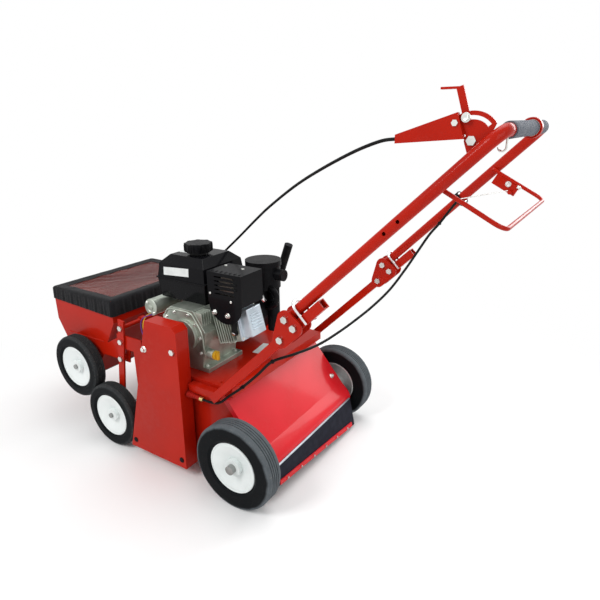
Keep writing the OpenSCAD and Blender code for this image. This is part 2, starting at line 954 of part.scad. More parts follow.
function guard_outline(inset) = [
  [rear_axle_x - guard_foot_front + inset, guard_foot_z + inset],
  [rear_axle_x - guard_foot_rear - inset, guard_foot_z + inset],
  [rear_axle_x - guard_top_rear - inset, guard_top_z - guard_chamfer - inset],
  [rear_axle_x - guard_top_rear - guard_chamfer - inset, guard_top_z - inset],
  [rear_axle_x - guard_top_front + inset, guard_top_z - inset]
];
function guard_front_x(z) =
  blend(rear_axle_x - guard_foot_front, rear_axle_x - guard_top_front,
          (z - guard_foot_z) / (guard_top_z - guard_foot_z));
guard_ear = [guard_front_x(guard_bolt_z) - guard_ear_out, guard_bolt_z];
guard_bolt = [rear_axle_x - guard_top_rear - guard_bolt_in, guard_bolt_z + guard_bolt_lift];
guard_plugs = [
  [guard_front_x(guard_foot_z + plug_up) + plug_in, guard_foot_z + plug_up],
  [rear_axle_x - guard_foot_rear - plug_in, guard_foot_z + plug_up]
];

module belt_guard() {
  color(red)
    difference() {
      union() {
        plate_xz(guard_outline(0), -guard_face_y, guard_depth - seat);
        bar_y(guard_ear.x, guard_ear.y, -guard_back_y - guard_back_t, -guard_back_y - seat, guard_ear_r);
      }
      plate_xz(guard_outline(guard_t), -guard_face_y + guard_t, guard_depth);
      bar_y(guard_ear.x, guard_ear.y, -guard_face_y - over, -guard_back_y + over, bolt_r + run);
      bar_y(guard_bolt.x, guard_bolt.y, -guard_face_y - over, -guard_face_y + guard_t + over, bolt_r + run);
      for (p = guard_plugs)
        bar_y(p.x, p.y, -guard_face_y - over, -guard_face_y + guard_t + over, plug_r);
    }
}

module guard_back() {
  post_y = side_y + seat;
  posts = [guard_plugs[0], guard_plugs[1], idler_pivot];
  color(dark_red)
    difference() {
      union() {
        plate_xz(guard_outline(0), -guard_back_y, guard_back_t);
        bar_y(guard_ear.x, guard_ear.y, -guard_back_y, -guard_back_y + guard_back_t, guard_ear_r);
        for (p = posts)
          bar_y(p.x, p.y, -guard_back_y, -post_y, bolt_r * 2);
        bar_y(idler_pivot.x, idler_pivot.y, -guard_back_y - seat * 2 - idler_plate_t,
            -guard_back_y, idler_stud_r);
        bar_y(idler_pivot.x, idler_pivot.y, -guard_back_y - seat * 2 - idler_plate_t - stud_head_t,
                      -guard_back_y - seat * 2 - idler_plate_t, idler_stud_r + stud_head_t);
      }
      bar_y(crank_x, crank_z, -guard_back_y - over, -post_y + over, crank_r + shaft_hole_gap);
      bar_y(reel_x, reel_z, -guard_back_y - over, -post_y + over, reel_shaft_r + shaft_hole_gap);
      bar_y(guard_ear.x, guard_ear.y, -guard_back_y - over,
          -guard_back_y + guard_back_t + over, bolt_r + run);
    }
}

module pulley(r, bore) {
  difference() {
    rotate_extrude()
      polygon([
        [bore, 0], [r + pulley_lip, 0], [r + pulley_lip, (pulley_w - belt_w) / 2 - seat],
        [r - seat, (pulley_w - belt_w) / 2 - seat], [r - seat, (pulley_w + belt_w) / 2 + seat],
        [r + pulley_lip, (pulley_w + belt_w) / 2 + seat], [r + pulley_lip, pulley_w], [bore, pulley_w]
      ]);
    for (a = [0 : 3])
      rotate([0, 0, a * 90])
        translate([(bore + r) / 2, 0, -over])
          cylinder(r = (r - bore) / 5, h = pulley_w + 2 * over);
  }
}

module crankshaft() {
  color(steel)
    bar_y(crank_x, crank_z, -pulley_y - pulley_w / 2 - seat, -case_near_y, crank_r);
}

module drive_pulley() {
  color(steel)
    translate([crank_x, -pulley_y - pulley_w / 2, crank_z])
      rotate([-90, 0, 0])
        pulley(drive_pulley_r, crank_r);
}

module driven_pulley() {
  color(steel)
    translate([reel_x, -pulley_y - pulley_w / 2, reel_z])
      rotate([-90, 0, 0])
        pulley(driven_pulley_r, reel_shaft_r);
}

module drive_belt() {
  color(black)
    translate([0, -pulley_y + belt_w / 2, 0])
      rotate([90, 0, 0])
        linear_extrude(belt_w)
          difference() {
            hull() {
              translate([crank_x, crank_z])
                circle(r = drive_pulley_r + belt_t);
              translate([reel_x, reel_z])
                circle(r = driven_pulley_r + belt_t);
            }
            hull() {
              translate([crank_x, crank_z])
                circle(r = drive_pulley_r);
              translate([reel_x, reel_z])
                circle(r = driven_pulley_r);
            }
          }
}

module idler_arm() {
  y0 = -guard_back_y - seat - idler_plate_t;
  wheel_y = -pulley_y + idler_w / 2 + seat;
  side = belt_side * idler_plate_w / 2;
  color(steel)
    difference() {
      union() {
        plate_xz([
          idler_pivot + side, idler_centre + side, idler_centre - side, idler_pivot - side
        ], y0, idler_plate_t);
        bar_y(idler_pivot.x, idler_pivot.y, y0, y0 + idler_plate_t, idler_plate_w / 2);
        bar_y(idler_centre.x, idler_centre.y, wheel_y, y0 + idler_plate_t, idler_plate_w / 2);
        bar_y(idler_centre.x, idler_centre.y, wheel_y - idler_w - 2 * seat, y0, idler_stud_r);
        bar_y(idler_centre.x, idler_centre.y, wheel_y - idler_w - 2 * seat - stud_head_t,
              wheel_y - idler_w - 2 * seat, idler_stud_r + stud_head_t);
      }
      bar_y(idler_pivot.x, idler_pivot.y, y0 - over, y0 + idler_plate_t + over, idler_stud_r + run);
    }
}

module idler_pulley() {
  y0 = -pulley_y - idler_w / 2;
  color(black)
    difference() {
      bar_y(idler_centre.x, idler_centre.y, y0, y0 + idler_w, idler_r);
      bar_y(idler_centre.x, idler_centre.y, y0 - over, y0 + idler_w + over, idler_stud_r + run);
    }
}

// Reel

module reel_shaft() {
  color(steel)
    bar_y(reel_x, reel_z, -pulley_y - pulley_w / 2 - seat, side_y - plate_t, reel_shaft_r);
}

module reel_bearings() {
  inner = side_y - plate_t - seat;
  color(cast)
    both_sides()
      difference() {
        bar_y(reel_x, reel_z, -inner, -inner + bearing_w, bearing_r);
        bar_y(reel_x, reel_z, -inner - over, -inner + bearing_w + over, reel_shaft_r + run);
      }
}

function blade_outline() =
  let (core = blade_r * blade_core_share, step = 360 / blade_teeth)
  [for (k = [0 : blade_teeth - 1])
    each [
      core * [cos(k * step), sin(k * step)],
      blade_r * [cos((k + blade_tooth_share) * step), sin((k + blade_tooth_share) * step)],
      core * [cos((k + blade_core_share) * step), sin((k + blade_core_share) * step)]
    ]];

module blade() {
  linear_extrude(blade_t)
    difference() {
      polygon(blade_outline());
      circle(r = reel_shaft_r);
    }
}

module reel_blades() {
  pitch = blade_span / (blade_count - 1);
  color(steel)
    for (i = [0 : blade_count - 1])
      translate([reel_x, -blade_span / 2 + i * pitch - blade_t / 2, reel_z])
        rotate([-90, i * 20, 0])
          blade();
}

// Engine

module engine_block() {
  front_x = rear_axle_x - case_front;
  rear_x = rear_axle_x - case_rear;
  color(cast)
    difference() {
      union() {
        block([rear_axle_x - foot_front, -foot_near_y, deck_z],
            [rear_axle_x - foot_rear, -foot_far_y, deck_z + foot_t]);
        plate_xz([
          [front_x, deck_z + foot_t - over], [front_x, case_top_z - case_shoulder],
          [front_x + case_shoulder, case_top_z], [crank_x + case_shoulder, case_top_z],
          [rear_x, crank_z + case_shoulder / 2], [rear_x - case_shoulder / 2, deck_z + foot_t - over]
        ], -case_near_y, case_near_y - case_far_y);
        bar_y(crank_x, crank_z, -case_near_y - boss_t, -case_near_y + over, boss_r);
        translate([rear_axle_x - oil_back - oil_neck, -oil_y, oil_z])
          rotate([0, 90, 0])
            cylinder(r = oil_neck_r, h = oil_neck);
        translate([crank_x, cylinder_y, crank_z])
          rotate([0, -cylinder_tilt, 0]) {
            translate([cylinder_start, -barrel_w / 2, -barrel_h / 2])
              cube([barrel_len - cylinder_start, barrel_w, barrel_h]);
            for (i = [0 : fin_count - 1])
              translate([fin_start + i * fin_pitch, -fin_w / 2, -fin_h / 2])
                cube([fin_t, fin_w, fin_h]);
            translate([barrel_len - head_t, -valve_w / 2, -valve_h / 2])
              cube([head_t, valve_w, valve_h]);
          }
      }
      bar_y(crank_x, crank_z, -case_near_y - boss_t - over, -case_near_y + boss_t, crank_r + run);
    }
}

module valve_cover() {
  color(steel)
    translate([crank_x, cylinder_y, crank_z])
      rotate([0, -cylinder_tilt, 0])
        union() {
          translate([barrel_len + seat, -valve_w / 2, -valve_h / 2])
            cube([valve_edge, valve_w, valve_h]);
          translate([barrel_len + seat + valve_edge - over, -valve_w / 2 + valve_edge,
              -valve_h / 2 + valve_edge])
            cube([valve_t - valve_edge + over, valve_w - 2 * valve_edge, valve_h - 2 * valve_edge]);
        }
}

module tank_half(low_z, high_z, low_in, high_in, far_y) {
  front_x = rear_axle_x - tank_front;
  rear_x = rear_axle_x - tank_rear;
  hull()
    for (level = [[low_z, low_in], [high_z, high_in]])
      translate([front_x + level[1], -tank_near_y + level[1], level[0]])
        cube([rear_x - front_x - 2 * level[1], tank_near_y + far_y - 2 * level[1], seat]);
}

module fuel_tank() {
  front_x = rear_axle_x - tank_front;
  rear_x = rear_axle_x - tank_rear;
  color(black)
    union() {
      tank_half(tank_bottom_z, tank_lip_z, tank_draw, tank_lip, tank_far_y);
      translate([front_x, -tank_near_y, tank_lip_z])
        cube([rear_x - front_x, tank_near_y + tank_top_far_y, tank_lip_t]);
      tank_half(tank_lip_z, tank_shoulder_z, tank_lip, tank_draw, tank_top_far_y);
      tank_half(tank_shoulder_z, tank_top_z - seat, tank_draw, tank_slope, tank_top_far_y);
      translate([rear_axle_x - cap_back, cap_y, tank_top_z - over])
        cylinder(r = neck_r, h = neck_h + over);
    }
}

module fuel_cap() {
  color(black)
    translate([rear_axle_x - cap_back, cap_y, tank_top_z + neck_h + seat])
      difference() {
        union() {
          cylinder(r = fuel_cap_r * cap_inner_share, h = fuel_cap_h);
          for (k = [0 : cap_lobes - 1])
            rotate([0, 0, k * 360 / cap_lobes])
              translate([fuel_cap_r - cap_lobe_r, 0, 0])
                cylinder(r = cap_lobe_r, h = fuel_cap_h);
        }
      }
}

module oil_cap() {
  color(yellow)
    translate([rear_axle_x - oil_back + seat, -oil_y, oil_z])
      rotate([0, 90, 0])
        union() {
          cylinder(r = oil_r, h = oil_h / 2);
          translate([-oil_r, -oil_r / 3, 0])
            cube([2 * oil_r, oil_r * 2 / 3, oil_h]);
        }
}

module muffler() {
  color(steel)
    union() {
      translate([rear_axle_x - (muffler_front + muffler_rear) / 2,
          -muffler_near_y + muffler_wall + muffler_gap,
                       (muffler_low_z + muffler_top_z) / 2])
        rotate([-90, 0, 0])
          cylinder(r = (muffler_top_z - muffler_low_z) / 2 - muffler_gap,
                             h = muffler_near_y - muffler_far_y - muffler_wall - muffler_gap);
      block([rear_axle_x - muffler_front + muffler_gap, -muffler_far_y - muffler_gap, muffler_low_z],
                  [rear_axle_x - muffler_rear - muffler_gap, -muffler_far_y - seat,
                      muffler_top_z - muffler_wall - seat]);
      translate([crank_x, cylinder_y, crank_z])
        rotate([0, -cylinder_tilt, 0])
          translate([barrel_len - head_t, -exhaust_w / 2, valve_h / 2 + seat])
            cube([head_t, exhaust_w, exhaust_len]);
    }
}

module muffler_guard() {
  front_x = rear_axle_x - muffler_front;
  rear_x = rear_axle_x - muffler_rear;
  slot_len = rear_x - front_x - 2 * slot_margin;
  color(black)
    difference() {
      union() {
        difference() {
          block([front_x, -muffler_near_y, muffler_low_z], [rear_x, -muffler_far_y, muffler_top_z]);
          block([front_x + muffler_wall, -muffler_near_y + muffler_wall, muffler_low_z - over],
                          [rear_x - muffler_wall, -muffler_far_y + over, muffler_top_z - muffler_wall]);
        }
        translate([(front_x + rear_x) / 2, -muffler_near_y + muffler_wall, muffler_low_z])
          rotate([90, 0, 0])
            cylinder(r = muffler_low_z - muffler_skirt_z, h = muffler_wall);
      }
      for (i = [0 : slot_rows - 1])
        block([front_x + slot_margin, -muffler_near_y - over, muffler_low_z + slot_margin + i * slot_pitch],
                      [front_x + slot_margin + slot_len, -muffler_near_y + muffler_wall + over,
                       muffler_low_z + slot_margin + i * slot_pitch + slot_h]);
    }
}

module carburettor() {
  x = rear_axle_x - air_back;
  head_y = cylinder_y + fin_w / 2;
  color(black)
    union() {
      block([x - carb_len / 2, head_y + seat, carb_low_z],
          [x + carb_len / 2, air_y + carb_w / 2, air_low_z - seat]);
      translate([rear_axle_x - elbow_back, air_y, elbow_low_z])
        cylinder(r = elbow_r, h = air_low_z - seat - elbow_low_z);
    }
}

module air_cleaner() {
  x = rear_axle_x - air_back;
  color(black)
    union() {
      translate([x, air_y, air_low_z])
        cylinder(r = air_cleaner_r - air_lid_edge, h = air_top_z - air_low_z - air_lid + over);
      translate([x, air_y, air_top_z - air_lid])
        cylinder(r = air_cleaner_r, h = air_lid);
      translate([x, air_y, snorkel_z])
        rotate([0, 90, 0])
          cylinder(r = snorkel_r, h = air_cleaner_r + snorkel_len);
    }
}

module blower_housing() {
  z = crank_z + blower_rise;
  far_y = -blower_near_y + blower_w;
  color(black)
    union() {
      bar_y(crank_x, z, -case_far_y + seat, -blower_near_y + over, blower_neck_r);
      bar_y(crank_x, z, -blower_near_y, far_y, blower_r);
      bar_y(crank_x, z, far_y - over, far_y + recoil_w, recoil_r);
    }
}

module starter_motor() {
  x = rear_axle_x - starter_back;
  case_x = rear_axle_x - case_front - seat;
  foot_z = case_top_z - case_shoulder - starter_foot_t - starter_foot;
  color(steel)
    union() {
      bar_y(x, starter_z, -starter_near_y, -starter_near_y + starter_len, starter_r);
      block([x - starter_foot / 2, -starter_near_y + starter_len - starter_foot, foot_z],
                  [x + starter_foot / 2, -starter_near_y + starter_len, starter_z]);
      block([x - starter_foot / 2, -starter_near_y + starter_len - starter_foot, foot_z],
                  [case_x, -starter_near_y + starter_len, foot_z + starter_foot_t]);
    }
}

module depth_lever() {
  x = rear_axle_x - depth_back;
  color(black)
    translate([x, depth_y, depth_z])
      rotate([0, depth_tilt, 0])
        difference() {
          union() {
            translate([-depth_bar_w / 2, -depth_bar_t / 2, -depth_bar_w / 2])
              cube([depth_bar_w, depth_bar_t, depth_len - depth_grip_len + depth_bar_w]);
            translate([0, 0, depth_len - depth_grip_len])
              cylinder(r = depth_grip_r, h = depth_grip_len);
          }
          translate([0, -depth_bar_t / 2 - over, 0])
            rotate([-90, 0, 0])
              cylinder(r = depth_pin_r + run, h = depth_bar_t + 2 * over);
        }
}

// Handle base

module lower_arm() {
  low = handle_point(stub_low, -stub_pitch);
  difference() {
    union() {
      translate([0, -pivot_y, 0])
        on_handle()
          translate([stub_low, -stub_size / 2, -stub_pitch - stub_size / 2])
            cube([stub_end - stub_low, stub_size, stub_size]);
      block([arm_front_x, -foot_y - stub_size / 2, foot_drop_z - stub_size / 2],
                  [low.x + stub_size / 2, -foot_y + stub_size / 2, foot_drop_z + stub_size / 2]);
    }
    translate([0, -pivot_y, 0])
      on_handle() {
        translate([0, -stub_size / 2 + stub_wall, -stub_pitch - stub_size / 2 + stub_wall])
          cube([stub_end + over, stub_size - 2 * stub_wall, stub_size - 2 * stub_wall]);
        for (along = [stub_bolt_up, stub_bolt_down])
          translate([along, -stub_size / 2 - over, -stub_pitch])
            rotate([-90, 0, 0])
              cylinder(r = bolt_r + run, h = stub_size + 2 * over);
      }
  }
}

module lower_arms() {
  color(red)
    both_sides()
      lower_arm();
}

module bracket_plate() {
  rotate([90, 0, 0])
    linear_extrude(bracket_t, center = true)
      difference() {
        hull() {
          circle(r = bracket_r, $fn = fine_fn);
          for (along = [stub_bolt_up, stub_bolt_down])
            translate([along, -stub_pitch])
              circle(r = bracket_r, $fn = fine_fn);
        }
        circle(r = bolt_r + run);
        for (along = [stub_bolt_up, stub_bolt_down])
          translate([along, -stub_pitch])
            circle(r = bolt_r + run);
      }
}

module handle_brackets() {
  color(red)
    both_sides()
      for (side = [-1, 1])
        translate([0, -pivot_y + side * (bracket_gap + bracket_t) / 2, 0])
          on_handle()
            bracket_plate();
}

module cross_bolt(along, lift, half, shank_r) {
  rotate([90, 0, 0])
    translate([along, lift, 0]) {
      cylinder(r = shank_r, h = 2 * half, center = true);
      for (side = [-1, 1])
        translate([0, 0, side * (half + head_h / 2)])
          cylinder(r = head_r, h = head_h, center = true, $fn = 6);
    }
}

module chassis_fasteners() {
  bracket_half = bracket_gap / 2 + bracket_t + seat;
  inner = side_y - plate_t - seat;
  half = flap_half - strip_side;
  color(steel) {
    both_sides()
      translate([0, -pivot_y, 0])
        on_handle() {
          cross_bolt(0, 0, bracket_half, bolt_r);
          cross_bolt(stub_bolt_up, -stub_pitch, bracket_half, bolt_r);
          cross_bolt(stub_bolt_down, -stub_pitch, bracket_half, bolt_r);
        }
    both_sides()
      for (i = [0 : 2]) {
        p = upright_point(upright_bolt_ups[i]);
        reach = [upright_face_y - upright_t, inner, hopper_half - ear_t - seat][i];
        bolt_head(p.x, p.y, -upright_face_y - seat);
        bar_y(p.x, p.y, -upright_face_y - seat - over, -reach, bolt_r);
        if (i > 0)
          bolt_head(p.x, p.y, -reach + head_h);
      }
    bolt_head(guard_ear.x, guard_ear.y, -guard_back_y - guard_back_t - seat);
    bar_y(guard_ear.x, guard_ear.y, -guard_back_y - guard_back_t - seat - over,
              -guard_back_y + guard_back_t + seat, bolt_r);
    bolt_head(guard_bolt.x, guard_bolt.y, -guard_face_y - seat);
    bar_y(guard_bolt.x, guard_bolt.y, -guard_face_y - seat - over,
        -guard_face_y + guard_t + 2 * seat, bolt_r);
    bolt_head(guard_bolt.x, guard_bolt.y, -guard_face_y + guard_t + seat + stud_head_t,
        head_r, stud_head_t);
    for (p = guard_plugs)
      bar_y(p.x, p.y, -guard_face_y - seat, -guard_face_y + guard_t, plug_r - seat);
    for (i = [0 : strip_screws - 1])
      translate(flap_point(-half + (i + 0.5) * 2 * half / strip_screws,
          strip_up + strip_h / 2, flap_t + strip_t + 4 * seat))
        rotate([0, 90, 0])
          cylinder(r = screw_r, h = strip_t);
  }
}

// Wheels

module rear_rim_left() {
  color(rim_white)
    wheel_at(rear_axle_x, rear_axle_z, rear_face_y)
      rim(rear_rim_r, rear_tyre_w, hub_r, rear_axle_r + run);
}

module rear_tyre_left() {
  color(rubber)
    wheel_at(rear_axle_x, rear_axle_z, rear_face_y)
      tyre(rear_tyre_r, rear_rim_r, rear_tyre_w);
}

module rear_rim_right() {
  mirror([0, 1, 0])
    rear_rim_left();
}

module rear_tyre_right() {
  mirror([0, 1, 0])
    rear_tyre_left();
}

module front_axle() {
  color(steel)
    bar_y(front_axle_x, front_axle_z, -front_face_y, front_face_y, small_axle_r);
}

module front_rims() {
  color(rim_white)
    both_sides()
      wheel_at(front_axle_x, front_axle_z, front_face_y)
        rim(small_rim_r, small_tyre_w, small_hub_r, small_axle_r);
}

module front_tyres() {
  color(rubber)
    both_sides()
      wheel_at(front_axle_x, front_axle_z, front_face_y)
        tyre(small_tyre_r, small_rim_r, small_tyre_w);
}

module seed_shaft() {
  inner = hopper_half - hopper_wall;
  pitch = 2 * inner / (agitator_count + 1);
  color(steel)
    union() {
      bar_y(seed_axle_x, seed_axle_z, -seed_face_y, seed_face_y, small_axle_r);
      for (i = [1 : agitator_count])
        translate([seed_axle_x, -inner + i * pitch, seed_axle_z])
          rotate([0, i * 45, 0])
            translate([-agitator_r, -agitator_w / 2, -agitator_w / 2])
              cube([2 * agitator_r, agitator_w, agitator_w]);
    }
}

module seed_rims() {
  color(rim_white)
    both_sides()
      wheel_at(seed_axle_x, seed_axle_z, seed_face_y)
        rim(small_rim_r, small_tyre_w, small_hub_r, small_axle_r);
}

module seed_tyres() {
  color(rubber)
    both_sides()
      wheel_at(seed_axle_x, seed_axle_z, seed_face_y)
        tyre(small_tyre_r, small_rim_r, small_tyre_w);
}

// Handle

module tube_piece(h, r = handle_r) {
  difference() {
    cylinder(r = r, h = h);
    translate([0, 0, -over])
      cylinder(r = r - handle_wall, h = h + 2 * over);
  }
}

module handle_path() {
  straight = handle_len / cos(tube_lean) - tube_bend_r * tan(tube_turn / 2);
  bend_y = hand_bar_half - tube_bend_r * tan(tube_turn / 2);
  both_sides()
    translate([0, -pivot_y, 0])
      rotate([0, 0, tube_lean]) {
        translate([-tube_tail, 0, 0])
          rotate([0, 90, 0])
            tube_piece(straight + tube_tail);
        translate([straight, tube_bend_r, 0])
          rotate([0, 0, -90])
            rotate_extrude(angle = tube_turn)
              translate([tube_bend_r, 0])
                difference() {
                  circle(r = handle_r);
                  circle(r = handle_r - handle_wall);
                }
      }
  translate([handle_len, -bend_y - over, 0])
    rotate([-90, 0, 0])
      tube_piece(2 * (bend_y + over), handle_r - tube_step);
}

module handle_bar() {
  color(red)
    on_handle()
      difference() {
        handle_path();
        both_sides()
          translate([0, -pivot_y, 0])
            rotate([-90, 0, 0])
              cylinder(r = bolt_r + run, h = 2 * bracket_gap, center = true);
        both_sides()
          translate([bail_pivot_along, -tube_y(bail_pivot_along), 0])
            rotate([-90, 0, 0])
              cylinder(r = bail_r + run, h = handle_r + over);
        for (along = accessory_alongs)
          translate([along, -tube_y(along), 0])
            rotate([-90, 0, 0])
              cylinder(r = accessory_r, h = 3 * handle_r, center = true);
      }
}

module hand_grip() {
  color("#6b7078")
    on_handle()
      translate([handle_len, 0, 0])
        rotate([-90, 0, 0])
          difference() {
            cylinder(r = grip_r, h = grip_len, center = true);
            cylinder(r = handle_r + run, h = grip_len + 2 * over, center = true);
          }
}

bail_leg_y = tube_y(bail_pivot_along) - handle_r - bail_gap - bail_r;

// Bail frame: X runs down the legs from the pivots, Z stands square to the loop
module on_bail() {
  on_handle()
    translate([bail_pivot_along, 0, 0])
      rotate([0, handle_tilt + bail_rest_angle, 0])
        children();
}

module bail() {
  corner = bail_corner_r;
  color(red)
    on_bail()
      union() {
        both_sides() {
          translate([0, -bail_leg_y - bail_r - bail_gap - bail_pin, 0])
            rotate([-90, 0, 0])
              cylinder(r = bail_r, h = bail_pin + bail_gap + bail_r);
          translate([0, -bail_leg_y, 0])
            sphere(r = bail_r);
          translate([0, -bail_leg_y, 0])
            rotate([0, 90, 0])
              cylinder(r = bail_r, h = bail_reach - corner);
          translate([bail_reach - corner, -bail_leg_y + corner, 0])
            rotate([0, 0, -90])
              rotate_extrude(angle = 90)
                translate([corner, 0])
                  circle(r = bail_r);
        }
        translate([bail_reach, -bail_leg_y + corner, 0])
          rotate([-90, 0, 0])
            cylinder(r = bail_r, h = 2 * (bail_leg_y - corner));
        translate([tab_start, bail_leg_y - tab_t / 2, -tab_w])
          cube([tab_len - tab_start, tab_t, tab_w]);
        translate([tab_len - clevis_w, bail_leg_y - clevis_w, clevis_r - tab_w])
          rotate([-90, 0, 0])
            cylinder(r = clevis_r, h = clevis_w);
      }
}

function bail_point(along, y, lift) =
  let (p = handle_point(bail_pivot_along, 0), a = -bail_rest_angle)
  [p.x + along * cos(a) - lift * sin(a), y, p.y + along * sin(a) + lift * cos(a)];
wire_end = bail_point(tab_len - clevis_w - clevis_r - 4 * seat,
    bail_leg_y - clevis_w / 2, clevis_r - tab_w);

module clutch_wire() {
  start = clutch_route[0] + unit(wire_end - clutch_route[0]) * cable_r;
  color(steel)
    rod_between(start, wire_end, wire_r);
}

rate_y = tube_y(rate_along + lever_w) - handle_r - seat - quadrant_t;

// Rate frame: the lever's pivot, with X level and Z up
module on_rate() {
  p = handle_point(rate_along, rate_rise);
  translate([p.x, -rate_y, p.y])
    children();
}

function arc(r, start, sweep, steps) = [
  for (k = [0 : steps]) let (a = start + sweep * k / steps) [r * cos(a), r * sin(a)]
];

lever_dir = [cos(lever_angle), sin(lever_angle)];
lever_side = [sin(lever_angle), -cos(lever_angle)];

module rate_quadrant() {
  foot_dir = turn([0, -1], handle_tilt);
  foot_along = turn([1, 0], handle_tilt);
  foot = rate_rise - seat;
  color(red)
    on_rate()
      rotate([90, 0, 0])
        linear_extrude(quadrant_t)
          difference() {
            union() {
              polygon(concat(arc(quadrant_r, quadrant_start, quadrant_sweep, 18), [[0, 0]]));
              polygon([
                quadrant_r * [cos(quadrant_start), sin(quadrant_start)], -lever_w * lever_side,
                foot_dir * foot - 2 * foot_along * lever_w, foot_dir * foot + foot_along * lever_w / 2
              ]);
              circle(r = lever_w);
            }
            polygon(concat(
              arc(slot_r + slot_half, slot_from, slot_sweep, 14),
              arc(slot_r - slot_half, slot_from + slot_sweep, -slot_sweep, 14)
            ));
            circle(r = rate_bolt_r + run);
            translate(horn_bolt)
              circle(r = horn_bolt_r + run);
          }
}

module cable_horn() {
  color(red)
    on_rate()
      translate([0, -quadrant_t, 0])
        rotate([90, 0, 0])
          linear_extrude(horn_t)
            difference() {
              polygon([
                [-horn_len, horn_lift - horn_tip], lever_dir * horn_root_low - lever_side * horn_set,
                lever_dir * horn_root_high - lever_side * horn_set, [-horn_len, horn_lift + horn_tip]
              ]);
              translate(horn_bolt)
                circle(r = horn_bolt_r + run);
            }
}

module rate_lever() {
  half = lever_side * lever_w / 2;
  top = lever_dir * lever_len;
  color(dark_red)
    on_rate()
      union() {
        translate([0, seat + lever_t, 0])
          rotate([90, 0, 0])
            linear_extrude(lever_t)
              difference() {
                union() {
                  polygon([half, top + half, top - half, -half]);
                  circle(r = lever_w / 2 + over);
                }
                circle(r = rate_bolt_r + run);
              }
        translate([top.x - lever_tab, seat, top.y - lever_t])
          cube([lever_tab, lever_w, lever_t]);
        translate([lever_dir.x * slot_r, -quadrant_t - seat, lever_dir.y * slot_r])
          rotate([-90, 0, 0])
            cylinder(r = lock_bolt_r, h = quadrant_t + 2 * seat + over);
        translate([lever_dir.x * slot_r, -quadrant_t - seat - lock_head_h, lever_dir.y * slot_r])
          rotate([-90, 0, 0])
            cylinder(r = lock_head_r, h = lock_head_h);
      }
}

module ring_around(r, thick, w) {
  difference() {
    cylinder(r = r + thick, h = w, center = true);
    cylinder(r = r, h = w + 2 * over, center = true);
  }
}

module handle_fasteners() {
  bar = handle_point(handle_len, 0);
  hook_z = bar.y - handle_r - seat - hook_drop;
  color(steel) {
    on_rate()
      rotate([90, 0, 0]) {
        translate([0, 0, -seat - lever_t - seat - head_h / 2])
          cylinder(r = rate_bolt_r, h = quadrant_t + lever_t + 3 * seat + head_h / 2);
        translate([0, 0, quadrant_t + seat])
          cylinder(r = head_r, h = head_h / 2, $fn = 6);
        translate([0, 0, -2 * seat - lever_t - head_h / 2])
          cylinder(r = head_r, h = head_h / 2, $fn = 6);
        translate([horn_bolt.x, horn_bolt.y, 0])
          cylinder(r = horn_bolt_r, h = quadrant_t + horn_t + seat);
        translate([horn_bolt.x, horn_bolt.y, quadrant_t + horn_t + seat])
          cylinder(r = 2 * horn_bolt_r, h = horn_bolt_r, $fn = 6);
      }
    on_handle() {
      translate([handle_len, strap_y, 0])
        rotate([-90, 0, 0])
          ring_around(grip_r + seat, strap_t, strap_w);
      translate([clip_ring_along, tube_y(clip_ring_along), 0])
        rotate([0, 90, 0])
          rotate([tube_lean, 0, 0])
            ring_around(handle_r + seat, strap_t, strap_w);
    }
    translate([bar.x, -hook_y, hook_z])
      cylinder(r = hook_r, h = hook_drop);
    translate([bar.x - hook_bend, -hook_y, hook_z])
      rotate([-90, 0, 0])
        rotate_extrude(angle = 180)
          translate([hook_bend, 0])
            circle(r = hook_r);
  }
}

module lock_clip() {
  translate([0, -tube_y(clip_mid_along), 0])
    on_handle()
      translate([clip_along, 0, 0]) {
        rotate([90, 0, 90])
          rotate_extrude(angle = 180)
            translate([clip_half, 0])
              circle(r = clip_wire_r);
        for (side = [-1, 1])
          translate([0, side * clip_half, -clip_leg])
            cylinder(r = clip_wire_r, h = clip_leg);
      }
}

module lock_clip_left() {
  color(steel)
    lock_clip();
}

module lock_clip_right() {
  color(steel)
    mirror([0, 1, 0])
      lock_clip();
}

// Cables

module clutch_cable() {
  color(black)
    swept_tube(smooth(clutch_route, 3), cable_r, cable_sides);
}

module seed_cable() {
  color(black)
    swept_tube(smooth(seed_route, 3), cable_r, cable_sides);
}

deck_plate();
side_plate_left();
side_plate_right();
rear_hood();
rubber_flap();
flap_strip();
rear_axle();
front_uprights();
cross_rod();
hopper_shell();
hopper_cover();
belt_guard();
guard_back();
lower_arms();
handle_brackets();
chassis_fasteners();
engine_block();
valve_cover();
fuel_tank();
muffler();
muffler_guard();
carburettor();
air_cleaner();
blower_housing();
starter_motor();
drive_belt();
clutch_cable();
seed_cable();
reel_bearings();
fuel_cap();
oil_cap();
crankshaft();
drive_pulley();
reel_shaft();
reel_blades();
driven_pulley();
idler_arm();
idler_pulley();
rear_rim_left();
rear_tyre_left();
rear_rim_right();
rear_tyre_right();
front_axle();
front_rims();
front_tyres();
seed_shaft();
seed_rims();
seed_tyres();
handle_bar();
hand_grip();
bail();
clutch_wire();
rate_quadrant();
cable_horn();
rate_lever();
handle_fasteners();
seed_gate();
lock_clip_left();
lock_clip_right();
depth_lever();
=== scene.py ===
"""Looks of a walk-behind overseeder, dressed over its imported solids."""

import logging
import math
from dataclasses import dataclass, replace
from enum import Enum
from functools import cached_property
from typing import Callable, Sequence, Union

import bpy
from mathutils import Matrix, Vector


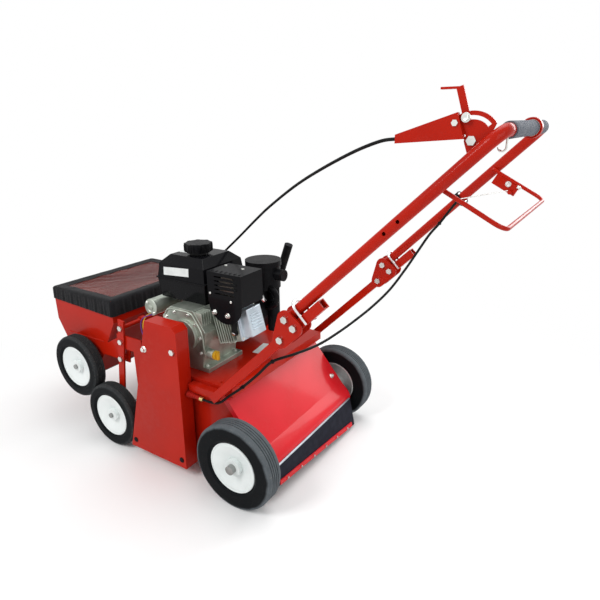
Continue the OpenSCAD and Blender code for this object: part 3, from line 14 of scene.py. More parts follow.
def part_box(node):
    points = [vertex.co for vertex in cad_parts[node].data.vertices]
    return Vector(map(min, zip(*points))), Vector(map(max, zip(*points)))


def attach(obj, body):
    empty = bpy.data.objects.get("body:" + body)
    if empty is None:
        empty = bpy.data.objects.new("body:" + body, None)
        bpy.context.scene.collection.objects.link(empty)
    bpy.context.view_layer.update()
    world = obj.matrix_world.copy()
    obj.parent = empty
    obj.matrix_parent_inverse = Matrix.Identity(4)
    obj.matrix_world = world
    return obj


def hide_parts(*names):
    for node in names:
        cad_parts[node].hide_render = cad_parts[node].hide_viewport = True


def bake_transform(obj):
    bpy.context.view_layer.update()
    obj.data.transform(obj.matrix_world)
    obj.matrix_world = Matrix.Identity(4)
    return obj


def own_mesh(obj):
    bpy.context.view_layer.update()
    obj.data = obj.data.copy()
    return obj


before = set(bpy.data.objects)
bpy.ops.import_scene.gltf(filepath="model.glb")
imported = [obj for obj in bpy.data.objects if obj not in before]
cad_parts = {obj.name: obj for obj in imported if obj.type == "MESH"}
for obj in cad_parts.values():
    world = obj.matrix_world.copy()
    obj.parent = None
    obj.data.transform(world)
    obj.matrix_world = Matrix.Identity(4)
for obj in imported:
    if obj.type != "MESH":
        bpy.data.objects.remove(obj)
LOG = logging.getLogger("overseeder")
Pair = tuple[float, float]
Triple = tuple[float, float, float]
Colour = Triple
Value = Union["Wire", float, Sequence[float]]
Inputs = dict[Union[int, str], Value]
Piece = bpy.types.Object
MM = 0.001
ORIGIN: Triple = (0.0, 0.0, 0.0)
EVEN: Triple = (1.0, 1.0, 1.0)
UP: Triple = (0.0, 0.0, 1.0)
DOWN: Triple = (0.0, 0.0, -1.0)
LEFT: Triple = (0.0, -1.0, 0.0)
RIGHT: Triple = (0.0, 1.0, 0.0)
WHITE: Colour = (1.0, 1.0, 1.0)
DUST: Colour = (0.42, 0.38, 0.33)
SEEN_RAYS = ("Is Camera Ray", "Is Glossy Ray", "Is Transmission Ray")
SMOOTH_DEG = 35.0


class Body(Enum):
    """Moving bodies that a new piece can ride on."""

    CHASSIS = "chassis"
    COVER = "cover"
    FUEL_CAP = "filler_cap"
    REAR_LEFT = "rear_wheel_left"
    REAR_RIGHT = "rear_wheel_right"
    FRONT = "front_wheels"
    SEED = "seed_drive"
    HANDLE = "handle"
    BAIL = "bail_lever"
    RATE = "rate"


class Slot(Enum):
    """Material slots of the record that new pieces take their finish from."""

    RED = "red_paint"
    PLATED = "plated_steel"
    RUBBER = "rubber"
    RIM = "white_rim"
    FABRIC = "cover_fabric"
    CAST = "cast_alloy"
    BLACK_METAL = "black_metal"
    TANK = "tank_black"
    PLASTIC = "black_plastic"


@dataclass(frozen=True)
class Wheel:
    """A pair of wheels: its axle's place and its radii in millimetres, a rim and its bodies."""

    name: str
    x: float
    z: float
    tyre_r: float
    rim_r: float
    rim: str
    left: Body
    right: Body


REAR = Wheel("rear", 116.0, 127.0, 127.0, 75.0, "rear_rim_left", Body.REAR_LEFT, Body.REAR_RIGHT)
FRONT = Wheel("front", -411.0, 107.0, 107.0, 71.0, "front_rims", Body.FRONT, Body.FRONT)
SEED = Wheel("seed", -586.062, 230.95, 107.0, 71.0, "seed_rims", Body.SEED, Body.SEED)


class Wire:
    """A shader value that Python's operators work on."""

    def __init__(self, board: "Board", socket: bpy.types.NodeSocket) -> None:
        """Keep a socket and the board it sits on."""
        self.board = board
        self.socket = socket

    def math(self, operation: str, other: Value = 0.0) -> "Wire":
        """Return the result of a Math node on this value and another."""
        node = self.board.add("ShaderNodeMath", {0: self, 1: other}, operation=operation)
        return self.board.take(node)

    def __add__(self, other: Value) -> "Wire":
        """Sum of two values."""
        return self.math("ADD", other)

    def __sub__(self, other: Value) -> "Wire":
        """Difference of two values."""
        return self.math("SUBTRACT", other)

    def __mul__(self, other: Value) -> "Wire":
        """Product of two values."""
        return self.math("MULTIPLY", other)

    def rise(self, low: float, high: float) -> "Wire":
        """Return a smooth step of this value, from 0 at low to 1 at high."""
        inputs = {"Value": self, "From Min": low, "From Max": high}
        node = self.board.add("ShaderNodeMapRange", inputs, interpolation_type="SMOOTHSTEP")
        return self.board.take(node)


class Board:
    """The node tree of one material or world."""

    def __init__(self, owner: Union[bpy.types.Material, bpy.types.World]) -> None:
        """Open the nodes of a material or a world."""
        owner.use_nodes = True
        self.owner = owner
        self.tree = owner.node_tree

    @cached_property
    def place(self) -> Wire:
        """Object coordinates."""
        return self.take(self.add("ShaderNodeTexCoord", {}), "Object")

    @property
    def shader(self) -> bpy.types.Node:
        """The material's own shader."""
        return self.tree.nodes["Principled BSDF"]

    def add(self, kind: str, inputs: Inputs, **settings: object) -> bpy.types.Node:
        """Add one node.

        Args:
            kind: The node's type.
            inputs: Values or wires of its sockets.
            settings: Its properties, set before the sockets.

        Returns:
            The node.
        """
        node = self.tree.nodes.new(kind)
        for key, value in settings.items():
            setattr(node, key, value)
        for key, value in inputs.items():
            self.feed(node.inputs[key], value)
        return node

    def feed(self, socket: bpy.types.NodeSocket, value: Value) -> None:
        """Link a wire to a socket, or set its value.

        Args:
            socket: The socket.
            value: A wire, a number, a colour or a vector.
        """
        if isinstance(value, Wire):
            self.tree.links.new(value.socket, socket)
        elif socket.type == "RGBA":
            socket.default_value = (*value, 1.0)
        else:
            socket.default_value = value

    def take(self, node: bpy.types.Node, name: Union[int, str] = 0) -> Wire:
        """Return one output of a node."""
        return Wire(self, node.outputs[name])

    def mix(self, share: Value, first: Value, second: Value) -> Wire:
        """Blend two colours; a share of 0 gives the first and 1 the second."""
        node = self.add("ShaderNodeMix", {0: share, 6: first, 7: second}, data_type="RGBA")
        return self.take(node, 2)

    def mapped(self, scale: Triple, centre: Triple = ORIGIN) -> Wire:
        """Object coordinates, moved and stretched.

        Args:
            scale: Stretch along each axis.
            centre: Point that becomes the origin, in metres.

        Returns:
            The new coordinates.
        """
        back = tuple(-c * s for c, s in zip(centre, scale))
        inputs = {"Vector": self.place, "Location": back, "Scale": scale}
        return self.take(self.add("ShaderNodeMapping", inputs))

    def noise(self, scale: float, detail: float = 3.0, stretch: Triple = EVEN) -> Wire:
        """Noise on Object coordinates.

        Args:
            scale: Cells per metre.
            detail: Octaves.
            stretch: Stretch along each axis.

        Returns:
            A value around one half.
        """
        where = self.place if stretch == EVEN else self.mapped(stretch)
        inputs = {"Vector": where, "Scale": scale, "Detail": detail}
        return self.take(self.add("ShaderNodeTexNoise", inputs))

    def cells(self, scale: float) -> Wire:
        """Distance to the nearest cell point on Object coordinates."""
        return self.take(self.add("ShaderNodeTexVoronoi", {"Vector": self.place, "Scale": scale}))

    def wave(self, scale: float, axis: str) -> Wire:
        """Sine bands on Object coordinates.

        Args:
            scale: Bands per metre, roughly.
            axis: The axis they cross.

        Returns:
            A value from 0 to 1.
        """
        inputs = {"Vector": self.place, "Scale": scale}
        node = self.add("ShaderNodeTexWave", inputs, bands_direction=axis, wave_profile="SIN")
        return self.take(node, "Fac")

    def length(self, vector: Wire) -> Wire:
        """Length of a vector."""
        return self.take(self.add("ShaderNodeVectorMath", {0: vector}, operation="LENGTH"), "Value")

    def seen(self) -> Wire:
        """Rays that show a surface to the eye.

        Returns:
            1 on such a ray and 0 on one that only carries light.
        """
        path = self.add("ShaderNodeLightPath", {})
        seen = self.take(path, SEEN_RAYS[0])
        for ray in SEEN_RAYS[1:]:
            seen = seen.math("MAXIMUM", self.take(path, ray))
        return seen

    def bump(self, height: Wire, strength: float, depth: float) -> Wire:
        """Return the normal that a height from 0 to 1 gives, with its depth in metres."""
        inputs = {"Height": height, "Strength": strength, "Distance": depth}
        return self.take(self.add("ShaderNodeBump", inputs))

    def finish(self, **sockets: Value) -> bpy.types.Material:
        """Set the shader's sockets.

        Args:
            sockets: Values by name; an underscore stands for a space.

        Returns:
            The finished material.
        """
        for key, value in sockets.items():
            self.feed(self.shader.inputs[key.replace("_", " ")], value)
        return self.owner


@dataclass(frozen=True)
class Finish:
    """A finish with a colour, a darker or dirtier one and a roughness."""

    name: str
    colour: Colour
    shade: Colour
    roughness: float = 0.4

    def board(self) -> Board:
        """Start the finish's material."""
        return Board(bpy.data.materials.new(self.name))

    def build(self) -> bpy.types.Material:
        """Return the finish's material."""
        raise NotImplementedError


@dataclass(frozen=True)
class Enamel(Finish):
    """Sprayed paint with orange peel, faint dents, dust and fine scuffs."""

    dust: float = 0.03
    coat: float = 0.12
    peel: float = 0.08
    gloss: float = 0.30

    def build(self) -> bpy.types.Material:
        """Build the paint.

        Returns:
            Its material.
        """
        b = self.board()
        cloud, fleck = b.noise(6.0, 4.0), b.noise(85.0, 4.0)
        scuff = b.noise(55.0, 5.0, (1.0, 0.2, 1.0)).rise(0.64, 0.72)
        dusty = (cloud * 0.55 + fleck * 0.45).rise(0.50, 0.72)
        base = b.mix(cloud.rise(0.32, 0.72), self.colour, self.shade)
        base = b.mix(dusty * self.dust, base, DUST)
        rough = dusty * 0.10 + scuff * 0.10 + fleck * 0.06 + self.roughness
        height = b.noise(520.0, 2.0) * 0.35 + b.noise(14.0, 2.0) * 0.65
        return b.finish(Base_Color=base, Roughness=rough, Coat_Weight=self.coat,
                        Coat_Roughness=0.08, Specular_IOR_Level=self.gloss,
                        Normal=b.bump(height, self.peel, 0.004))


@dataclass(frozen=True)
class Metal(Finish):
    """Bare, plated or cast metal with drawn lines, stains and a grain."""

    lines: Triple = EVEN
    line_scale: float = 220.0
    grain: float = 0.04
    metallic: float = 1.0

    def build(self) -> bpy.types.Material:
        """Build the metal.

        Returns:
            Its material.
        """
        b = self.board()
        stain, line = b.noise(16.0, 5.0), b.noise(self.line_scale, 3.0, self.lines)
        base = b.mix(stain.rise(0.40, 0.72), self.colour, self.shade)
        base = b.mix(line.rise(0.55, 0.80) * 0.25, base, self.shade)
        rough = line * 0.20 + stain * 0.14 + (self.roughness - 0.17)
        height = line * 0.6 + b.noise(900.0, 2.0) * 0.4
        return b.finish(Base_Color=base, Roughness=rough, Metallic=self.metallic,
                        Normal=b.bump(height, self.grain, 0.002))


@dataclass(frozen=True)
class Moulded(Finish):
    """Moulded plastic, rubber or foam with a fine texture and dust."""

    texture: float = 900.0
    depth: float = 0.15
    dust: float = 0.04
    coat: float = 0.0
    gloss: float = 0.22

    def build(self) -> bpy.types.Material:
        """Build the plastic.

        Returns:
            Its material.
        """
        b = self.board()
        cloud, fine = b.noise(20.0, 4.0), b.cells(self.texture)
        dusty = (cloud * 0.7 + b.noise(160.0, 4.0) * 0.3).rise(0.48, 0.74)
        base = b.mix(b.noise(45.0, 3.0).rise(0.35, 0.7), self.colour, self.shade)
        base = b.mix(dusty * self.dust, base, DUST)
        rough = dusty * 0.16 + fine * 0.10 + (self.roughness - 0.06)
        return b.finish(Base_Color=base, Roughness=rough, Coat_Weight=self.coat,
                        Specular_IOR_Level=self.gloss,
                        Normal=b.bump(fine * 0.7 + cloud * 0.3, self.depth, 0.0012))


@dataclass(frozen=True)
class TyreRubber(Finish):
    """Tyre rubber: dark walls with faint rings and a tread worn grey."""

    wheel: Wheel = REAR

    def build(self) -> bpy.types.Material:
        """Build the tyre.

        Returns:
            Its material.
        """
        b = self.board()
        flat = b.mapped((1.0, 0.0, 1.0), (self.wheel.x * MM, 0.0, self.wheel.z * MM))
        radius, tread_r = b.length(flat), self.wheel.tyre_r * MM
        grime = b.noise(42.0, 5.0)
        tread = (radius + (grime - 0.5) * 0.006).rise(tread_r - 0.012, tread_r - 0.003)
        base = b.mix(tread * (grime * 0.5 + 0.55), self.colour, self.shade)
        base = b.mix(b.noise(230.0, 4.0).rise(0.56, 0.78) * (tread * 0.16 + 0.03), base, DUST)
        rings = (radius * 1900.0).math("SINE") * 0.5 + 0.5
        rough = tread * 0.18 + grime * 0.12 + (self.roughness - 0.06)
        height = rings * 0.3 + b.noise(700.0, 3.0) * 0.7
        return b.finish(Base_Color=base, Roughness=rough, Specular_IOR_Level=0.06,
                        Normal=b.bump(height, 0.25, 0.0012))


@dataclass(frozen=True)
class Woven(Finish):
    """Coarse woven cloth."""

    threads: float = 330.0

    def build(self) -> bpy.types.Material:
        """Build the cloth.

        Returns:
            Its material.
        """
        b = self.board()
        warp, weft, up = (b.wave(self.threads, axis) for axis in "XYZ")
        weave = (warp * weft).math("MAXIMUM", up * 0.7)
        fade = b.noise(22.0, 5.0)
        base = b.mix(fade.rise(0.38, 0.74), self.colour, self.shade)
        base = b.mix(weave * 0.25, base, self.shade)
        rough = weave * 0.10 + fade * 0.10 + (self.roughness - 0.1)
        height = weave * 0.5 + b.noise(60.0, 4.0) * 0.5
        return b.finish(Base_Color=base, Roughness=rough, Sheen_Weight=0.05, Sheen_Roughness=0.5,
                        Specular_IOR_Level=0.12, Normal=b.bump(height, 0.5, 0.0015))


@dataclass(frozen=True)
class SmokyFilm(Finish):
    """Clear sheet plastic, smoky and creased."""

    cover: float = 0.44

    def build(self) -> bpy.types.Material:
        """Build the film.

        Returns:
            Its material.
        """
        b = self.board()
        crease, haze = b.noise(26.0, 4.0, (1.0, 0.35, 1.0)), b.noise(9.0, 4.0)
        base = b.mix(haze.rise(0.35, 0.7), self.colour, self.shade)
        cover = haze * 0.22 + crease.rise(0.55, 0.75) * 0.12 + self.cover
        rough = haze * 0.16 + (self.roughness - 0.08)
        height = crease * 0.7 + b.noise(120.0, 3.0) * 0.3
        return b.finish(Base_Color=base, Roughness=rough, Alpha=cover, Specular_IOR_Level=0.14,
                        Normal=b.bump(height, 0.35, 0.006))


JET, TYRE_WALL = (0.004, 0.004, 0.005), (0.004, 0.005, 0.006)
FINISHES: tuple[Finish, ...] = (
    Enamel("red_enamel", (0.44, 0.012, 0.003), (0.38, 0.009, 0.002), 0.30,
           coat=0.14, peel=0.04, gloss=0.06),
    # Lit copy of the red paint: brighter and pinker than red_enamel, a painted highlight of the
    # light on the hood.
    Enamel("red_enamel_painted_highlight", (0.72, 0.016, 0.026), (0.64, 0.012, 0.018), 0.28,
           coat=0.16, peel=0.05, gloss=0.12),
    Enamel("white_enamel", (0.80, 0.84, 0.83), (0.70, 0.75, 0.74), 0.30, dust=0.10, coat=0.2),
    Enamel("black_enamel", JET, (0.006, 0.006, 0.007), 0.36,
           dust=0.005, coat=0.08, peel=0.02, gloss=0.03),
    Enamel("tank_enamel", (0.003, 0.003, 0.004), (0.005, 0.005, 0.006), 0.22,
           dust=0.003, coat=0.16, peel=0.015, gloss=0.02),
    Metal("axle_steel", (0.34, 0.35, 0.34), (0.20, 0.19, 0.18), 0.38, (1.0, 0.06, 1.0)),
    Metal("zinc_plate", (0.74, 0.75, 0.72), (0.54, 0.54, 0.51), 0.30, EVEN, 300.0, 0.03),
    Metal("chrome_wire", (0.82, 0.82, 0.82), (0.62, 0.62, 0.62), 0.18, EVEN, 300.0, 0.015),
    Metal("brass_plate", (0.66, 0.52, 0.22), (0.46, 0.35, 0.14), 0.30, EVEN, 300.0, 0.03),
    Metal("cast_alloy", (0.44, 0.48, 0.42), (0.22, 0.25, 0.21), 0.42, EVEN, 420.0, 0.24, 0.8),
    Metal("blue_alloy", (0.58, 0.66, 0.72), (0.40, 0.47, 0.52), 0.36, EVEN, 380.0, 0.18, 0.65),
    Metal("cast_iron", (0.20, 0.19, 0.18), (0.10, 0.085, 0.07), 0.58, EVEN, 380.0, 0.35, 0.7),
    Metal("hot_steel", (0.42, 0.37, 0.32), (0.20, 0.16, 0.13), 0.44, (1.0, 1.0, 0.2), 160.0, 0.08),
    Moulded("black_moulding", JET, (0.008, 0.008, 0.009), 0.42, 900.0, 0.06, 0.012, 0.04, 0.04),
    Moulded("cable_jacket", (0.004, 0.004, 0.004), (0.008, 0.008, 0.008), 0.42,
            700.0, 0.05, 0.01, 0.0, 0.10),
    Moulded("belt_rubber", (0.018, 0.018, 0.018), (0.034, 0.033, 0.032), 0.66, 500.0, 0.2, 0.12),
    Moulded("flap_rubber", (0.008, 0.009, 0.017), (0.014, 0.015, 0.026), 0.52,
            420.0, 0.12, 0.015, 0.0, 0.07),
    Moulded("grip_foam", (0.105, 0.118, 0.145), (0.150, 0.162, 0.185), 0.80, 1300.0, 0.55, 0.08),
    Moulded("yellow_moulding", (0.72, 0.42, 0.02), (0.60, 0.34, 0.015), 0.36,
            600.0, 0.05, 0.05, 0.2),
    Moulded("purple_moulding", (0.16, 0.05, 0.30), (0.12, 0.04, 0.24), 0.40,
            600.0, 0.05, 0.03, 0.1),
    Moulded("white_label", (0.74, 0.77, 0.76), (0.66, 0.69, 0.68), 0.42, 300.0, 0.04, 0.06, 0.2),
    Moulded("red_rubber", (0.34, 0.010, 0.006), (0.26, 0.008, 0.005), 0.50,
            500.0, 0.08, 0.03, 0.0, 0.12),
    TyreRubber("rear_tyre_rubber", TYRE_WALL, (0.125, 0.142, 0.155), 0.54, REAR),
    TyreRubber("front_tyre_rubber", TYRE_WALL, (0.042, 0.046, 0.048), 0.54, FRONT),
    TyreRubber("seed_tyre_rubber", TYRE_WALL, (0.042, 0.046, 0.048), 0.54, SEED),
    Woven("cover_cloth", (0.005, 0.005, 0.006), (0.012, 0.012, 0.014), 0.74),
    SmokyFilm("cover_window", (0.11, 0.014, 0.010), (0.18, 0.030, 0.022), 0.26),
)

NODE_FINISHES: dict[str, str] = {
    # Hood and flap strip take the lit copy of the red paint, whose brighter colour is painted
    # highlight.
    "red_enamel_painted_highlight": "rear_hood flap_strip",
    "red_enamel": "deck_plate side_plate_left side_plate_right front_uprights cross_rod "
                  "hopper_shell belt_guard guard_back lower_arms handle_brackets handle_bar "
                  "bail rate_quadrant cable_horn rate_lever",
    "white_enamel": "rear_rim_left rear_rim_right front_rims seed_rims",
    "black_enamel": "muffler_guard",
    "tank_enamel": "fuel_tank",
    "axle_steel": "rear_axle front_axle seed_shaft reel_shaft reel_blades crankshaft drive_pulley "
                  "driven_pulley idler_arm clutch_wire seed_gate",
    "zinc_plate": "chassis_fasteners handle_fasteners",
    "chrome_wire": "lock_clip_left lock_clip_right",
    "cast_alloy": "engine_block starter_motor",
    "blue_alloy": "valve_cover",
    "cast_iron": "reel_bearings",
    "hot_steel": "muffler",
    "black_moulding": "carburettor air_cleaner blower_housing fuel_cap idler_pulley depth_lever",
    "cable_jacket": "clutch_cable seed_cable",
    "belt_rubber": "drive_belt",
    "flap_rubber": "rubber_flap",
    "grip_foam": "hand_grip",
    "yellow_moulding": "oil_cap",
    "rear_tyre_rubber": "rear_tyre_left rear_tyre_right",
    "front_tyre_rubber": "front_tyres",
    "seed_tyre_rubber": "seed_tyres",
    "cover_cloth": "hopper_cover",
}
EDGE_MM: dict[str, float] = {
    "fuel_tank": 4.0, "belt_guard": 2.0, "deck_plate": 1.5, "engine_block": 1.2,
    "valve_cover": 2.5, "starter_motor": 1.2, "oil_cap": 1.0, "fuel_cap": 1.5}
WELD_M, FLAT_DEG, EDGE_DEG, EDGE_STEPS = 1e-5, 1.0, 40.0, 3


@dataclass(frozen=True)
class Dress:
    """What a new piece wears and rides on: a slot of the record, a finish and a body."""

    slot: Slot
    finish: str
    body: Body = Body.CHASSIS

    def on(self, body: Body) -> "Dress":
        """Return the same dress on another body."""
        return replace(self, body=body)


ZINC = Dress(Slot.PLATED, "zinc_plate")
CHROME = Dress(Slot.PLATED, "chrome_wire")
CAST = Dress(Slot.CAST, "cast_alloy")
MOULDED = Dress(Slot.PLASTIC, "black_moulding")
JACKET = Dress(Slot.PLASTIC, "cable_jacket")
PAINTED = Dress(Slot.RED, "red_enamel")


class PaintShop:
    """All finishes, built once, and the hand that lays them on."""

    def __init__(self) -> None:
        """Build every finish."""
        self.materials = {f.name: f.build() for f in FINISHES}

    def coat(self, piece: Piece, *finishes: str) -> None:
        """Give a piece finishes in place of the ones it has.

        Args:
            piece: The piece.
            finishes: Their names, in the order of its material numbers.
        """
        piece.data.materials.clear()
        for name in finishes:
            piece.data.materials.append(self.materials[name])

    def place(self, piece: Piece, dress: Dress) -> Piece:
        """Coat a piece and let it ride.

        Args:
            piece: The piece.
            dress: What it wears and rides on.

        Returns:
            The piece.
        """
        self.coat(piece, dress.finish)
        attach(piece, dress.body.value)
        LOG.info("piece %s rides on %s", piece.name, dress.body.value)
        return piece

    def coat_nodes(self) -> None:
        """Give every solid of the frame its finish."""
        for finish, nodes in NODE_FINISHES.items():
            for node in nodes.split():
                self.coat(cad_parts[node], finish)
                LOG.info("node %s: %s", node, finish)
        for node, width in EDGE_MM.items():
            self.ease(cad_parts[node], width)

    @staticmethod
    def ease(piece: Piece, width: float) -> None:
        """Round a solid's sharp edges with live modifiers, so that they catch the light.

        Args:
            piece: The solid.
            width: Width of the rounding in millimetres.
        """
        weld = piece.modifiers.new("weld", "WELD")
        weld.merge_threshold = WELD_M
        flat = piece.modifiers.new("flat", "DECIMATE")
        flat.decimate_type = "DISSOLVE"
        flat.angle_limit = math.radians(FLAT_DEG)
        edge = piece.modifiers.new("edge", "BEVEL")
        edge.width = width * MM
        edge.segments = EDGE_STEPS
        edge.limit_method = "ANGLE"
        edge.angle_limit = math.radians(EDGE_DEG)
        edge.use_clamp_overlap = True
        edge.miter_outer = "MITER_ARC"


def smooth_route(route: Sequence[Triple], steps: int) -> list[Vector]:
    """Curve through given points.

    Args:
        route: Points in millimetres.
        steps: Points between two of them.

    Returns:
        The curve's points in metres.
    """
    pts = [Vector(p) * MM for p in route]
    last = len(pts) - 1
    path = []
    for i in range(last):
        a, b, c, d = pts[max(i - 1, 0)], pts[i], pts[i + 1], pts[min(i + 2, last)]
        square, cube = 2 * a - 5 * b + 4 * c - d, 3 * b - a - 3 * c + d
        for t in (s / steps for s in range(steps)):
            path.append(0.5 * (2 * b + (c - a) * t + square * t * t + cube * t ** 3))
    return path + [pts[last]]


def path_length(path: Sequence[Vector]) -> float:
    """Return the length of a path of points."""
    return sum((q - p).length for p, q in zip(path, path[1:]))


def strips(rows: int, across: int) -> list[tuple[int, ...]]:
    """Faces between rows of points, each row a closed ring.

    Args:
        rows: How many rows there are.
        across: Points of each row.

    Returns:
        Corner numbers of each face.
    """
    return [(i * across + k, i * across + (k + 1) % across,
             (i + 1) * across + (k + 1) % across, (i + 1) * across + k)
            for i in range(rows - 1) for k in range(across)]


def swept_tube(name: str, path: Sequence[Vector], radius: float, sides: int = 12) -> Piece:
    """Round tube along a path, closed at both ends.

    Args:
        name: The piece's name.
        path: Points in metres.
        radius: Radius in metres.
        sides: Sides of the section.

    Returns:
        The piece.
    """
    verts: list[Vector] = []
    side = None
    for i, p in enumerate(path):
        d = (path[min(i + 1, len(path) - 1)] - path[max(i - 1, 0)]).normalized()
        side = d.orthogonal() if side is None else side - d * side.dot(d)
        side = side.normalized()
        up = d.cross(side)
        for a in (2 * math.pi * k / sides for k in range(sides)):
            verts.append(p + radius * (math.cos(a) * side + math.sin(a) * up))
    end = len(verts) - sides
    caps = [tuple(range(sides - 1, -1, -1)), tuple(range(end, end + sides))]
    return new_mesh(name, verts, strips(len(path), sides) + caps)


def new_mesh(name: str, verts: Sequence[Vector], faces: Sequence[Sequence[int]]) -> Piece:
    """Piece from points and faces, smooth by angle.

    Args:
        name: The piece's name.
        verts: Points in metres.
        faces: Corner numbers of each face.

    Returns:
        The piece.
    """
    mesh = bpy.data.meshes.new(name)
    mesh.from_pydata([tuple(v) for v in verts], [], faces)
    mesh.update()
    piece = bpy.data.objects.new(name, mesh)
    bpy.context.scene.collection.objects.link(piece)
    Bench.soften(piece)
    return piece


class Start(Enum):
    """Primitives that a modelled piece starts from."""

    BLOCK = "primitive_cube_add"
    ROUND = "primitive_cylinder_add"
    LOOP = "primitive_circle_add"


class Bench:
    """Modelling operators that every sub-assembly uses."""

    @staticmethod
    def only(piece: Piece) -> None:
        """Leave edit mode, select one piece alone and make it active.

        Args:
            piece: The piece.
        """
        if bpy.context.mode != "OBJECT":
            bpy.ops.object.mode_set(mode="OBJECT")
        bpy.ops.object.select_all(action="DESELECT")
        piece.select_set(True)
        bpy.context.view_layer.objects.active = piece

    @staticmethod
    def start(kind: Start, name: str, centre: Triple, **sizes: object) -> Piece:
        """Add a primitive at its place.

        Args:
            kind: The primitive.
            name: The piece's name.
            centre: Its centre in millimetres.
            sizes: The operator's own settings, lengths in metres.

        Returns:
            The piece.
        """
        bpy.ops.object.select_all(action="DESELECT")
        getattr(bpy.ops.mesh, kind.value)(location=tuple(c * MM for c in centre), **sizes)
        piece = bpy.context.object
        piece.name = piece.data.name = name
        return piece

    @staticmethod
    def block(name: str, low: Triple, high: Triple, round_mm: float, segments: int = 2) -> Piece:
        """Block between two corners, with rounded edges.

        Args:
            name: The piece's name.
            low: Lowest corner in millimetres.
            high: Highest corner in millimetres.
            round_mm: Radius of its edges.
            segments: Steps of that radius.

        Returns:
            The piece.
        """
        centre = tuple((a + b) / 2 for a, b in zip(low, high))
        piece = Bench.start(Start.BLOCK, name, centre, size=1.0)
        piece.scale = tuple((b - a) * MM for a, b in zip(low, high))
        Bench.settle(piece)
        Bench.edit(piece)
        bpy.ops.mesh.bevel(offset=round_mm * MM, segments=segments, affect="EDGES")
        return Bench.done(piece)

    @staticmethod
    def settle(piece: Piece) -> None:
        """Move a piece's place into its mesh."""
        Bench.only(piece)
        bpy.ops.object.transform_apply(location=True, rotation=True, scale=True)

    @staticmethod
    def edit(piece: Piece, test: Callable[[Vector], bool] = lambda normal: True) -> None:
        """Open a piece for editing with the faces that pass a test selected.

        Args:
            piece: The piece.
            test: Takes a face's normal; every face passes without one.
        """
        Bench.only(piece)
        bpy.ops.object.mode_set(mode="EDIT")
        bpy.ops.mesh.select_mode(type="FACE")
        bpy.ops.mesh.select_all(action="DESELECT")
        bpy.ops.object.mode_set(mode="OBJECT")
        for face in piece.data.polygons:
            face.select = test(face.normal)
        bpy.ops.object.mode_set(mode="EDIT")

    @staticmethod
    def step(inset: float, lift: float) -> None:
        """Inset the selected faces and lift them, both in millimetres."""
        bpy.ops.mesh.inset(thickness=inset * MM)
        bpy.ops.transform.translate(value=(0.0, 0.0, lift * MM))

    @staticmethod
    def done(piece: Piece, degrees: float = SMOOTH_DEG) -> Piece:
        """Close a piece after editing: settle it and smooth it by angle.

        Args:
            piece: The piece.
            degrees: The angle.

        Returns:
            The piece.
        """
        Bench.settle(piece)
        Bench.soften(piece, degrees)
        return piece

    @staticmethod
    def soften(piece: Piece, degrees: float = SMOOTH_DEG) -> None:
        """Smooth the shading between faces that meet below an angle."""
        Bench.only(piece)
        bpy.ops.object.shade_smooth_by_angle(angle=math.radians(degrees))

    @staticmethod
    def turned(name: str, section: Sequence[Pair], centre: Triple, axis: Triple,
               steps: int) -> Piece:
        """Spin a closed section about an axis.

        Args:
            name: The piece's name.
            section: Radius and place along the axis of each corner, in millimetres.
            centre: A point of the axis in millimetres.
            axis: The axis.
            steps: Steps round it.

        Returns:
            The piece.
        """
        piece = Bench.start(Start.LOOP, name, ORIGIN, vertices=len(section), radius=1.0,
                            fill_type="NOTHING")
        middle, along = Vector(centre), Vector(axis).normalized()
        out = along.orthogonal().normalized()
        for vert, (radius, up) in zip(piece.data.vertices, section):
            vert.co = (middle + out * radius + along * up) * MM
        bpy.ops.object.mode_set(mode="EDIT")
        bpy.ops.mesh.select_all(action="SELECT")
        bpy.ops.mesh.spin(steps=steps, angle=2 * math.pi, center=tuple(middle * MM),
                          axis=tuple(along))
        bpy.ops.mesh.select_all(action="SELECT")
        bpy.ops.mesh.remove_doubles(threshold=1e-6)
        bpy.ops.mesh.normals_make_consistent(inside=False)
        return Bench.done(piece)

    @staticmethod
    def copy(piece: Piece, name: str, place: Matrix) -> Piece:
        """Copy a piece with a mesh of its own.

        Args:
            piece: What is copied.
            name: The copy's name.
            place: Its move.

        Returns:
            The copy.
        """
        twin = piece.copy()
        twin.data = piece.data.copy()
        twin.name = twin.data.name = name
        twin.data.transform(place)
        bpy.context.scene.collection.objects.link(twin)
        return twin

    @staticmethod
    def repeat(master: Piece, name: str, places: Sequence[Matrix], once: bool = False) -> Piece:
        """Join copies of a master into one piece.

        Args:
            master: What is copied.
            name: The joined piece's name.
            places: The move of each copy.
            once: Whether the master isn't needed again.

        Returns:
            The joined piece.
        """
        copies = [Bench.copy(master, f"{name}_{i}", place) for i, place in enumerate(places)]
        if once:
            bpy.data.objects.remove(master, do_unlink=True)
        return Bench.join(name, copies)

    @staticmethod
    def join(name: str, pieces: Sequence[Piece]) -> Piece:
        """Join pieces into one.

        Args:
            name: The joined piece's name.
            pieces: The pieces.

        Returns:
            The joined piece.
        """
        bpy.ops.object.select_all(action="DESELECT")
        for piece in pieces:
            piece.select_set(True)
        bpy.context.view_layer.objects.active = pieces[0]
        bpy.ops.object.join()
        pieces[0].name = pieces[0].data.name = name
        return pieces[0]


@dataclass(frozen=True)
class Lamp:
    """Square soft lamp: its place, its target and its side in metres, its power in watts."""

    name: str
    place: Triple
    target: Triple
    size: float
    watts: float

    def add(self) -> None:
        """Hang the lamp."""
        data = bpy.data.lights.new(self.name, "AREA")
        data.size = self.size
        data.energy = self.watts
        lamp = bpy.data.objects.new(self.name, data)
        lamp.location = self.place
        lamp.visible_camera = False
        back = Vector(self.place) - Vector(self.target)
        lamp.rotation_euler = back.to_track_quat("Z", "Y").to_euler()
        bpy.context.scene.collection.objects.link(lamp)


